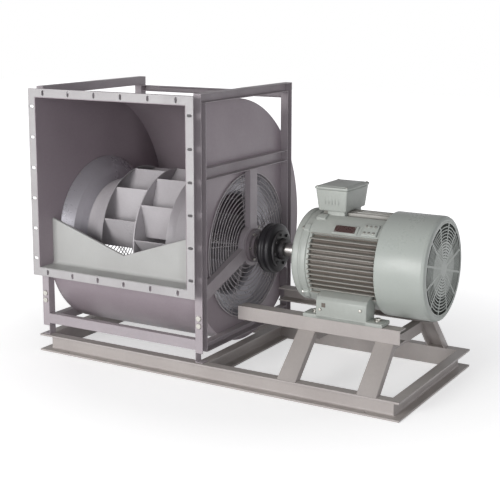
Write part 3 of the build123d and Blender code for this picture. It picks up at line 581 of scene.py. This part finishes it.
def wire_guard(side):
    low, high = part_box(side + "_inlet_guard")
    reach = (high.z - low.z) / 2
    outward = 1 if side == "right" else -1
    plate_x = low.x if side == "right" else high.x
    ring_x = plate_x + outward * 0.0062
    spoke_x = ring_x - outward * 0.0035
    shape = bmesh.new()
    radius = 0.086
    while radius < reach - 0.012:
        wire_ring(shape, ring_x, radius, 0.0044)
        radius += 0.0208
    wire_ring(shape, ring_x - outward * 0.0008, reach - 0.004, 0.0072)
    for index in range(5):
        for lean in (-2.2, 2.2):
            wire_spoke(shape, spoke_x, 0.086, reach - 0.004, 8 + 72 * index + lean, 0.004)
    geometry = shape.verts[:] + shape.edges[:] + shape.faces[:]
    cut = bmesh.ops.bisect_plane(shape, geom=geometry, plane_co=(0, high.y - 0.0005, 0), plane_no=(0, 1, 0),
                                 clear_outer=True)
    open_edges = [item for item in cut["geom_cut"] if isinstance(item, bmesh.types.BMEdge)]
    bmesh.ops.holes_fill(shape, edges=open_edges, sides=0)
    return finish_piece(shape, side + "_wire_guard", "stand", "guard_wire", replaces=[side + "_inlet_guard"])


wire_guard("right")
wire_guard("left")

# %% [markdown]
# An inlet cone guides the air from the opening in the side plate into the wheel. It is spun from
# sheet in two slopes, with a flat ring that is screwed to the plate. The bare metal is brighter
# than the paint round it. The same profile serves both sides, once as it is and once mirrored.

# %% Spin the two inlet cones


def side_profile(points, outward):
    return [(wheel_x + outward * x, radius) for x, radius in points]


cone_line = [(0.3990, 0.350), (0.3925, 0.3440), (0.3520, 0.3030), (0.3370, 0.2720), (0.3285, 0.2400),
             (0.3180, 0.2275), (0.3100, 0.2258), (0.3100, 0.2238), (0.3190, 0.2250), (0.3308, 0.2385),
             (0.3392, 0.2705), (0.3540, 0.3012), (0.3945, 0.3320), (0.3990, 0.3330)]
for side, outward in (("right", 1), ("left", -1)):
    shape = bmesh.new()
    round_profile(shape, side_profile(cone_line, outward), 0.0035, steps=128, segments=3)
    finish_piece(shape, side + "_bell", "stand", "housing_paint", sharp=60, look="bell_metal",
                 replaces=[side + "_inlet_cone"])
    shape = bmesh.new()
    for index in range(16):
        seat = about_shaft(360 * (index + 0.5) / 16) @ axis_matrix(
            (wheel_x + outward * 0.3965, shaft_y, shaft_z + 0.3452), (-outward, 0, 0))
        hex_screw(shape, seat, 0.008, 0.003, washer=False)
    finish_piece(shape, side + "_bell_screws", "stand", "bolt_zinc")

# %% [markdown]
# The cut-off divides the air that leaves the wheel from the air that would go round again. It is
# one sheet: the outlet's floor, a soft bend, and an upright part whose top edge dips towards the
# middle, where the wheel is closest. Five columns of points follow the sheet from front to top,
# and solidify gives them the thickness of the sheet.

# %% Bend the cut-off
cut_low, cut_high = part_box("cutoff_plate")
cut_y = shaft_y - 0.392
bend = 0.014
shape = bmesh.new()
columns = []
for share in (-1, -0.5, 0, 0.5, 1):
    x = wheel_x + share * 0.3998
    top = cut_low.z + 0.003 + 0.079 + abs(share) * 0.132
    line = [(cut_low.y + 0.0005, cut_low.z + 0.003), (cut_y - bend, cut_low.z + 0.003)]
    for step in range(1, 6):
        angle = math.radians(90 * step / 6)
        line.append((cut_y - bend + bend * math.sin(angle), cut_low.z + 0.003 + bend - bend * math.cos(angle)))
    line += [(cut_y, cut_low.z + 0.003 + bend), (cut_y, top - 0.004), (cut_y + 0.0015, top),
             (cut_y + 0.012, top + 0.001)]
    columns.append([shape.verts.new((x, y, z)) for y, z in line])
for left, right in zip(columns, columns[1:]):
    for index in range(len(left) - 1):
        shape.faces.new((left[index], right[index], right[index + 1], left[index + 1]))
bmesh.ops.recalc_face_normals(shape, faces=shape.faces)
bmesh.ops.solidify(shape, geom=shape.faces[:], thickness=0.0025)
finish_piece(shape, "bent_cutoff", "stand", "flange_zinc", sharp=40, look="cutoff_zinc", replaces=["cutoff_plate"])

# %% [markdown]
# The legs of the motor's stand are pieces of channel set at a slant. Each one is drawn as two
# outlines of a channel, one on the base and one under the rail, and a bridge between the two
# outlines makes the bar. A small bevel takes the sharpness off the rolled steel.

# %% Set the four legs


def channel_outline(shape, x0, x1, y, z, inward, depth, wall):
    corners = [(x0, y), (x1, y), (x1, y + inward * depth), (x1 - wall, y + inward * depth),
               (x1 - wall, y + inward * wall), (x0 + wall, y + inward * wall), (x0 + wall, y + inward * depth),
               (x0, y + inward * depth)]
    verts = [shape.verts.new((corner_x, corner_y, z)) for corner_x, corner_y in corners]
    shape.faces.new(verts)
    return [shape.edges.get((verts[i], verts[(i + 1) % 8])) for i in range(8)]


for end_name in ("left", "right"):
    for place, inward in (("front", 1), ("rear", -1)):
        node = "stand_leg_" + place + "_" + end_name
        low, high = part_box(node)
        foot_y = low.y if inward > 0 else high.y
        top_y = shaft_y - inward * 0.212
        lean = -0.022 if inward > 0 else 0.0
        x0 = low.x + (0.0 if end_name == "left" else 0.020)
        shape = bmesh.new()
        feet = channel_outline(shape, x0, x0 + 0.086, foot_y, low.z, inward, 0.045, 0.007)
        tops = channel_outline(shape, x0 + lean, x0 + lean + 0.080, top_y, high.z, inward, 0.045, 0.007)
        bmesh.ops.bridge_loops(shape, edges=feet + tops)
        bmesh.ops.recalc_face_normals(shape, faces=shape.faces)
        bmesh.ops.bevel(shape, geom=shape.edges[:], offset=0.0015, segments=2, profile=0.5, affect="EDGES",
                        material=-1, clamp_overlap=True)
        finish_piece(shape, node + "_bar", "stand", "base_paint", replaces=[node])

# %% [markdown]
# The rubber tyre of the coupling bulges between two clamp rings. A profile with rounded corners,
# spun about the shaft, gives its two shoulders and the groove between them. Hexagon screws hold
# the clamp rings, and they turn with the shaft that carries them.

# %% Mould the coupling tyre
tyre_low, tyre_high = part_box("coupling_tyre")
tyre_radius = (tyre_high.z - tyre_low.z) / 2
tyre_mid = (tyre_low.x + tyre_high.x) / 2
tyre_half = (tyre_high.x - tyre_low.x) / 2
shape = bmesh.new()
tyre_outline = [
    (tyre_mid - tyre_half, 0.060), (tyre_mid - tyre_half, tyre_radius - 0.026),
    (tyre_mid - tyre_half + 0.006, tyre_radius - 0.006), (tyre_mid - 0.020, tyre_radius - 0.0002),
    (tyre_mid - 0.009, tyre_radius - 0.001), (tyre_mid - 0.005, tyre_radius - 0.008),
    (tyre_mid + 0.005, tyre_radius - 0.008), (tyre_mid + 0.009, tyre_radius - 0.001),
    (tyre_mid + 0.020, tyre_radius - 0.0002), (tyre_mid + tyre_half - 0.006, tyre_radius - 0.006),
    (tyre_mid + tyre_half, tyre_radius - 0.026), (tyre_mid + tyre_half, 0.060),
    (tyre_mid + tyre_half - 0.012, 0.060), (tyre_mid + tyre_half - 0.012, tyre_radius - 0.018),
    (tyre_mid - tyre_half + 0.012, tyre_radius - 0.018), (tyre_mid - tyre_half + 0.012, 0.060)]
round_profile(shape, tyre_outline, 0.003, steps=112)
finish_piece(shape, "moulded_tyre", "fan_rotor", "tyre_rubber", sharp=50, replaces=["coupling_tyre"])

# %% Screws on the coupling
for side, body, outward in (("fan", "fan_rotor", -1), ("motor", "motor_rotor", 1)):
    shape = bmesh.new()
    face_x = tyre_mid + outward * (tyre_half + 0.0004)
    round_profile(shape, [(face_x, 0.0475), (face_x, 0.083), (face_x + outward * 0.009, 0.080),
                          (face_x + outward * 0.009, 0.0475)], 0.0015, steps=72)
    for index in range(8):
        turn = about_shaft(360 * index / 8 + 10)
        seat = turn @ axis_matrix((face_x + outward * 0.009, shaft_y, shaft_z + 0.066), (outward, 0, 0))
        hex_screw(shape, seat, 0.013, 0.006, washer=False, spin=index)
    finish_piece(shape, side + "_clamp_ring", body, "hub_iron")

# %% [markdown]
# The motor's fan cowl is pressed from sheet, so its rear edge is a tight smooth roll and not a
# corner. The profile is drawn with a few points, the roll is a bevel of many segments, and the
# spin closes it. The end is a fine grille of rings and spokes. Towards the middle the bars are
# wider than the slots, as the fan behind draws its air from the rim.

# %% Press the fan cowl
cowl_low, cowl_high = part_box("fan_cowl")
cowl_radius = (cowl_high.z - cowl_low.z) / 2
sheet = 0.003
end = cowl_high.x
grille_radius = 0.198
shape = bmesh.new()
points = [(cowl_low.x - 0.008, cowl_radius), (end - 0.015, cowl_radius), (end - 0.0045, cowl_radius - 0.0045),
          (end, cowl_radius - 0.015), (end, grille_radius), (end - sheet, grille_radius),
          (end - sheet, cowl_radius - 0.017), (end - 0.008, cowl_radius - 0.008),
          (end - 0.017, cowl_radius - sheet), (cowl_low.x - 0.008, cowl_radius - sheet)]
round_profile(shape, points, 0.004, steps=128, segments=4)
finish_piece(shape, "pressed_cowl", "stand", "cowl_paint", sharp=50, replaces=["fan_cowl"])

# %% Cut the end grille


def flat_ring(shape, inner, outer, back, front, steps):
    round_profile(shape, [(back, inner), (front, inner), (front, outer), (back, outer)], 0, steps=steps)


shape = bmesh.new()
back, front = end - sheet, end - 0.0004
flat_ring(shape, grille_radius - 0.008, grille_radius - 0.0001, back, front, 112)
radius = 0.040
while radius < 0.118:
    flat_ring(shape, radius - 0.0042, radius + 0.0042, back, front, 72)
    radius += 0.0118
while radius < grille_radius - 0.012:
    flat_ring(shape, radius - 0.0022, radius + 0.0022, back, front, 96)
    radius += 0.0132
for index in range(12):
    bar = bmesh.ops.create_cube(shape, size=1)
    bmesh.ops.scale(shape, verts=bar["verts"], vec=(front - back - 0.0004, 0.009, grille_radius - 0.030))
    bmesh.ops.translate(shape, verts=bar["verts"],
                        vec=((back + front) / 2, shaft_y, shaft_z + 0.026 + (grille_radius - 0.030) / 2))
    bmesh.ops.transform(shape, verts=bar["verts"], matrix=about_shaft(360 * (index + 0.5) / 12))
hub = bmesh.ops.create_cone(shape, cap_ends=True, segments=64, radius1=0.034, radius2=0.034, depth=front - back)
bmesh.ops.transform(shape, verts=hub["verts"],
                    matrix=axis_matrix(((back + front) / 2, shaft_y, shaft_z), (1, 0, 0)))
finish_piece(shape, "end_grille", "stand", "cowl_paint", replaces=["cowl_grille"])

# %% Cowl screws
shape = bmesh.new()
for turn in (45, 135, 225, 315):
    seat = about_shaft(turn) @ axis_matrix((cowl_low.x + 0.012, shaft_y, shaft_z + cowl_radius - 0.0042), (0, 0, 1))
    hex_screw(shape, seat, 0.010, 0.0035, washer=False)
finish_piece(shape, "cowl_screws", "stand", "bolt_zinc")

# %% [markdown]
# The drive-end shield is a drum-shaped casting: nearly flat in front, with a short rounded rim and
# a boss round the shaft. It is turned on a lathe, and here it is a spun profile. Four screws clamp
# it to the frame through cast ears, which are short blocks with rounded edges.

# %% Turn the drive-end shield
shield_low, shield_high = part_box("drive_end_shield")
rim = (shield_high.z - shield_low.z) / 2
boss_x = shield_low.x
face_x = boss_x + 0.035
frame_left = shield_high.x
shape = bmesh.new()
points = [(boss_x, 0.0331), (boss_x, 0.070), (boss_x + 0.006, 0.076), (face_x, 0.080), (face_x + 0.002, 0.172),
          (face_x + 0.001, rim - 0.009), (face_x + 0.010, rim), (face_x + 0.034, rim), (face_x + 0.036, rim - 0.004),
          (face_x + 0.042, rim - 0.004), (face_x + 0.044, rim), (frame_left, rim), (frame_left, 0.168),
          (face_x + 0.036, 0.140), (face_x + 0.036, 0.0331)]
round_profile(shape, points, 0.0025, steps=112)
finish_piece(shape, "turned_shield", "stand", "motor_paint", sharp=45, replaces=["drive_end_shield"])

# %% Ears and screws of the shield
shape = bmesh.new()
for turn in (45, 135, 225, 315):
    block = bmesh.ops.create_cube(shape, size=1)
    bmesh.ops.scale(shape, verts=block["verts"], vec=(0.030, 0.038, 0.030))
    bmesh.ops.translate(shape, verts=block["verts"], vec=(frame_left - 0.0152, shaft_y, shaft_z + rim - 0.006))
    bmesh.ops.transform(shape, verts=block["verts"], matrix=about_shaft(turn))
bmesh.ops.bevel(shape, geom=shape.edges[:], offset=0.006, segments=3, profile=0.5, affect="EDGES", material=-1)
finish_piece(shape, "shield_ears", "stand", "motor_paint")
shape = bmesh.new()
for turn in (45, 135, 225, 315):
    seat = about_shaft(turn) @ axis_matrix((frame_left - 0.0302, shaft_y, shaft_z + rim - 0.004), (-1, 0, 0))
    hex_screw(shape, seat, 0.016, 0.008)
finish_piece(shape, "shield_screws", "stand", "bolt_zinc")

# %% [markdown]
# The motor's frame is an iron casting with cooling fins. Its flanks carry level fins, each a thin
# bevelled bar that ends on one round outline. Between flank and crown runs a smooth band, which
# leaves room for plates and screws, and the crown has fins of its own under the terminal box. The
# smooth bands are rectangles spun through a part of a turn.

# %% Cast the motor frame
frame_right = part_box("rear_end_shield")[0].x + 0.018
fin_radius = 0.209
core_radius = 0.182
shape = bmesh.new()
round_profile(shape, [(frame_left, 0.168), (frame_right, 0.168), (frame_right, core_radius),
                      (frame_left, core_radius)], 0, steps=96)
# Painted shade with grime: the core between the fins takes a dark brown grey, where the fins shade it.
finish_piece(shape, "frame_core", "stand", "motor_paint", look="fin_ground")


def part_turn(shape, x0, x1, inner, outer, start, sweep, steps):
    """A rectangle spun through a part of a turn, from `start` degrees off the upright."""
    corners = [(x0, inner), (x1, inner), (x1, outer), (x0, outer)]
    verts = [shape.verts.new((x, shaft_y, shaft_z + radius)) for x, radius in corners]
    face = shape.faces.new(verts)
    bmesh.ops.transform(shape, verts=verts, matrix=about_shaft(start))
    bmesh.ops.spin(shape, geom=[face], cent=(0, shaft_y, shaft_z), axis=(1, 0, 0),
                   angle=math.radians(sweep), steps=steps)


shape = bmesh.new()
for start in (20, -50, 130, -160):
    part_turn(shape, frame_left, frame_right, core_radius - 0.004, fin_radius - 0.004, start, 31, 10)
for edge_x in (frame_left, frame_right - 0.014):
    round_profile(shape, [(edge_x, core_radius - 0.004), (edge_x + 0.014, core_radius - 0.004),
                          (edge_x + 0.014, fin_radius - 0.012), (edge_x, fin_radius - 0.012)], 0.002, steps=96)
finish_piece(shape, "frame_bands", "stand", "motor_paint")
fin_pitch = 0.0212
shape = bmesh.new()
for side in (-1, 1):
    for index in range(-6, 7):
        offset = index * fin_pitch
        reach = math.sqrt(fin_radius ** 2 - offset ** 2)
        root = math.sqrt(core_radius ** 2 - offset ** 2) - 0.006
        fin = bmesh.ops.create_cube(shape, size=1)
        bmesh.ops.scale(shape, verts=fin["verts"], vec=(frame_right - frame_left - 0.022, reach - root, 0.0072))
        tip = [vert for vert in fin["verts"] if vert.co.y * side > 0]
        bmesh.ops.scale(shape, verts=tip, vec=(1, 1, 0.62))
        middle_y = shaft_y + side * (reach + root) / 2
        bmesh.ops.translate(shape, verts=fin["verts"], vec=((frame_left + frame_right) / 2, middle_y, shaft_z + offset))
for index in range(-2, 3):
    offset = index * fin_pitch
    reach = math.sqrt(fin_radius ** 2 - offset ** 2)
    fin = bmesh.ops.create_cube(shape, size=1)
    bmesh.ops.scale(shape, verts=fin["verts"], vec=(frame_right - frame_left - 0.022, 0.006, reach - 0.170))
    bmesh.ops.translate(shape, verts=fin["verts"],
                        vec=((frame_left + frame_right) / 2, shaft_y + offset, shaft_z + (reach + 0.170) / 2))
bmesh.ops.bevel(shape, geom=shape.edges[:], offset=0.0012, segments=2, profile=0.5, affect="EDGES", material=-1,
                clamp_overlap=True)
# The fins take the darker copy of the motor paint, painted shade with some grime.
finish_piece(shape, "frame_fins", "stand", "motor_paint", look="fin_paint_shade_and_grime")

# %% [markdown]
# Each foot is a plate with a hollow block above it that grows out of the frame. The side of the
# block is a flat panel with two set screws and a small square hole, which is a thin dark patch of
# painted shade. The block's outline is a polygon in the plane across the shaft, and extruding it
# gives the block.

# %% Cast the feet
frame_box_low, frame_box_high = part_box("motor_frame")
foot_bottom = frame_box_low.z
foot_right = frame_box_high.x
shape = bmesh.new()
for side in (-1, 1):
    outline = [(0.218, 0.0), (0.218, 0.082), (0.208, 0.097), (0.150, 0.118), (0.126, 0.100), (0.138, 0.0)]
    verts = [shape.verts.new((frame_left + 0.064, shaft_y + side * across, foot_bottom + up))
             for across, up in outline]
    face = shape.faces.new(verts)
    made = bmesh.ops.extrude_face_region(shape, geom=[face])
    moved = [item for item in made["geom"] if isinstance(item, bmesh.types.BMVert)]
    bmesh.ops.translate(shape, verts=moved, vec=(0.232, 0, 0))
    plate = bmesh.ops.create_cube(shape, size=1)
    bmesh.ops.scale(shape, verts=plate["verts"], vec=(foot_right - frame_left - 0.002, 0.080, 0.018))
    bmesh.ops.translate(shape, verts=plate["verts"],
                        vec=((frame_left + foot_right) / 2 + 0.001, shaft_y + side * 0.178, foot_bottom + 0.009))
bmesh.ops.bevel(shape, geom=shape.edges[:], offset=0.004, segments=3, profile=0.5, affect="EDGES", material=-1,
                clamp_overlap=True)
finish_piece(shape, "frame_feet", "stand", "motor_paint", replaces=["motor_frame"])
shape = bmesh.new()
for side in (-1, 1):
    for along in (0.020, 0.205):
        seat = axis_matrix((frame_left + 0.064 + along, shaft_y + side * 0.2178, foot_bottom + 0.040 + along * 0.1),
                           (0, side, 0))
        hex_screw(shape, seat, 0.012, 0.005, washer=False)
finish_piece(shape, "foot_set_screws", "stand", "bolt_zinc")
# The foot's small square hole is a thin dark patch of painted shade set on the side panel.
shape = bmesh.new()
made = bmesh.ops.create_cube(shape, size=1)
bmesh.ops.scale(shape, verts=made["verts"], vec=(0.018, 0.0012, 0.018))
bmesh.ops.translate(shape, verts=made["verts"], vec=(frame_left + 0.100, shaft_y - 0.2182, foot_bottom + 0.062))
bmesh.ops.bevel(shape, geom=shape.edges[:], offset=0.0004, segments=1, profile=0.5, affect="EDGES", material=-1)
finish_piece(shape, "foot_hole_painted_shade", "stand", "motor_paint", look="fin_ground")

# %% [markdown]
# The neck of the terminal box rises from the crown of the frame.

# %% Raise the neck
shape = bmesh.new()
made = bmesh.ops.create_cube(shape, size=1)
neck_low, neck_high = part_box("terminal_box")
neck_size = Vector((neck_high.x - neck_low.x - 0.048, neck_high.y - neck_low.y - 0.048, 0.060))
bmesh.ops.scale(shape, verts=made["verts"], vec=neck_size)
bmesh.ops.translate(shape, verts=made["verts"],
                    vec=((neck_low.x + neck_high.x) / 2, (neck_low.y + neck_high.y) / 2, neck_low.z - 0.028))
bmesh.ops.bevel(shape, geom=shape.edges[:], offset=0.004, segments=2, profile=0.5, affect="EDGES", material=-1)
finish_piece(shape, "box_neck", "stand", "motor_paint")

# %% [markdown]
# The terminal box is a casting: its walls lean outwards, its edges are soft, and upright ribs
# stiffen the front. The lid overlaps it a little and is held by four screws.

# %% Cast the terminal box
lid_low, lid_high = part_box("terminal_box_lid")
lid_low = Vector((lid_low.x - 0.023, lid_low.y - 0.006, lid_low.z + 0.006))
lid_high = lid_high + Vector((0.002, 0, 0.006))
box_low = Vector((lid_low.x, lid_low.y, neck_low.z))
box_high = Vector((lid_high.x, lid_high.y, lid_low.z))
taper = 0.010


def tapered_block(shape, low, high, narrower):
    """A block that is narrower at its foot, with soft edges."""
    made = bmesh.ops.create_cube(shape, size=1)
    verts = made["verts"]
    size = high - low
    bmesh.ops.scale(shape, verts=verts, vec=size)
    bmesh.ops.translate(shape, verts=verts, vec=(low + high) / 2)
    centre = (low + high) / 2
    feet = [vert for vert in verts if vert.co.z < centre.z]
    factor = Vector((1 - 2 * narrower / size.x, 1 - 2 * narrower / size.y, 1))
    bmesh.ops.scale(shape, verts=feet, vec=factor, space=Matrix.Translation(-centre))
    return verts


def soft_edges(shape, verts, offset, segments=3):
    edges = list({edge for vert in verts for edge in vert.link_edges})
    bmesh.ops.bevel(shape, geom=edges, offset=offset, segments=segments, profile=0.5, affect="EDGES",
                    material=-1, clamp_overlap=True)


shape = bmesh.new()
inset = Vector((0.003, 0.003, 0))
soft_edges(shape, tapered_block(shape, box_low + inset, box_high - inset, taper), 0.006)
for index in range(5):
    x = box_low.x + 0.048 + index * 0.0150
    low = Vector((x - 0.0020, box_low.y + 0.0062, box_low.z + 0.030))
    high = Vector((x + 0.0020, box_low.y + 0.020, box_high.z - 0.024))
    soft_edges(shape, tapered_block(shape, low, high, 0), 0.0012, 2)
finish_piece(shape, "cast_terminal_box", "stand", "motor_paint", replaces=["terminal_box"])

# %% Fit the lid and its screws
shape = bmesh.new()
soft_edges(shape, tapered_block(shape, lid_low, lid_high - Vector((0, 0, 0.003)), 0), 0.004)
raised = Vector((0.016, 0.016, 0))
soft_edges(shape, tapered_block(shape, Vector((*(lid_low + raised).xy, lid_low.z + 0.006)), lid_high - raised, 0),
           0.002)
finish_piece(shape, "cast_lid", "stand", "motor_paint", replaces=["terminal_box_lid"])
shape = bmesh.new()
for x in (lid_low.x + 0.009, lid_high.x - 0.009):
    for y in (lid_low.y + 0.009, lid_high.y - 0.009):
        hex_screw(shape, axis_matrix((x, y, lid_high.z - 0.0032), (0, 0, 1)), 0.008, 0.003, washer=False)
finish_piece(shape, "lid_screws", "stand", "bolt_zinc")

# %% [markdown]
# A motor carries a rating plate on the smooth band of its frame. This one is bare, held by four
# small rivets. Beside it is a cast pad with the screws of the lifting and earthing points.

# %% Fix the bare rating plate and the pads
plate_from, plate_to = frame_left + 0.112, frame_left + 0.206
plate_angle = 43


def band_block(shape, x0, x1, across, inner, outer, angle, rounding):
    made = bmesh.ops.create_cube(shape, size=1)
    bmesh.ops.scale(shape, verts=made["verts"], vec=(x1 - x0, across, outer - inner))
    bmesh.ops.translate(shape, verts=made["verts"], vec=((x0 + x1) / 2, shaft_y, shaft_z + (inner + outer) / 2))
    bmesh.ops.transform(shape, verts=made["verts"], matrix=about_shaft(angle))
    soft_edges(shape, made["verts"], rounding)


shape = bmesh.new()
band_block(shape, plate_from - 0.012, plate_to + 0.012, 0.046, 0.190, 0.2085, plate_angle, 0.002)
band_block(shape, plate_to + 0.030, plate_to + 0.100, 0.060, 0.190, 0.2125, plate_angle - 2, 0.004)
band_block(shape, frame_left + 0.006, frame_left + 0.050, 0.034, 0.190, 0.214, 27, 0.004)
finish_piece(shape, "band_pads", "stand", "motor_paint")
shape = bmesh.new()
band_block(shape, plate_from, plate_to, 0.034, 0.2080, 0.2098, plate_angle, 0.0005)
finish_piece(shape, "rating_plate", "stand", "motor_paint", look="plate_metal")
shape = bmesh.new()
for along in (plate_to + 0.044, plate_to + 0.064, plate_to + 0.085):
    for lean in (-4.5, 4.5):
        seat = about_shaft(plate_angle - 2 + lean) @ axis_matrix((along, shaft_y, shaft_z + 0.2122), (0, 0, 1))
        hex_screw(shape, seat, 0.010, 0.004, washer=False)
for along in (plate_from + 0.005, plate_to - 0.005):
    for lean in (-3.6, 3.6):
        seat = about_shaft(plate_angle + lean) @ axis_matrix((along, shaft_y, shaft_z + 0.2093), (0, 0, 1))
        rivet = bmesh.ops.create_uvsphere(shape, u_segments=10, v_segments=6, radius=0.0019)
        bmesh.ops.transform(shape, verts=rivet["verts"], matrix=seat)
finish_piece(shape, "band_screws", "stand", "bolt_zinc")

# %% [markdown]
# The bearings sit in round housings on the brackets. Each has a ring of cap screws and a grease
# nipple on top, which is where the fan is serviced.

# %% Dress the bearings
for side, outward in (("right", 1), ("left", -1)):
    low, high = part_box(side + "_bearing_housing")
    face = (high.x if outward > 0 else low.x) - outward * 0.012
    shape = bmesh.new()
    for index in range(6):
        seat = about_shaft(60 * index + 30) @ axis_matrix((face, shaft_y, shaft_z + 0.065), (outward, 0, 0))
        hex_screw(shape, seat, 0.011, 0.006, washer=False, spin=index * 0.4)
    finish_piece(shape, side + "_bearing_screws", "stand", "bolt_zinc")
    shape = bmesh.new()
    stem = bmesh.ops.create_cone(shape, cap_ends=True, segments=12, radius1=0.0035, radius2=0.0028, depth=0.016)
    bmesh.ops.translate(shape, verts=stem["verts"], vec=(face - outward * 0.008, shaft_y, shaft_z + 0.081))
    ball = bmesh.ops.create_uvsphere(shape, u_segments=12, v_segments=8, radius=0.0036)
    bmesh.ops.translate(shape, verts=ball["verts"], vec=(face - outward * 0.008, shaft_y, shaft_z + 0.090))
    bmesh.ops.transform(shape, verts=shape.verts, matrix=about_shaft(-20))
    finish_piece(shape, side + "_grease_nipple", "stand", "bolt_zinc")

# %% [markdown]
# The bolts that hold the motor's feet are plain hexagon bolts in CAD. They get washers and soft
# corners here, on exactly the same places.

# %% Set the foot bolts
foot_low, foot_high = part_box("motor_foot_bolts")
shape = bmesh.new()
foot_top = foot_high.z - 0.012
for x in (foot_low.x + 0.014, foot_high.x - 0.014):
    for y in (foot_low.y + 0.01212, foot_high.y - 0.01212):
        hex_screw(shape, axis_matrix((x, y, foot_top), (0, 0, 1)), 0.024, 0.0095)
        stem = bmesh.ops.create_cone(shape, cap_ends=True, segments=20, radius1=0.008, radius2=0.008, depth=0.040)
        bmesh.ops.translate(shape, verts=stem["verts"], vec=(x, y, foot_top - 0.020))
finish_piece(shape, "foot_bolts", "stand", "bolt_zinc", replaces=["motor_foot_bolts"])
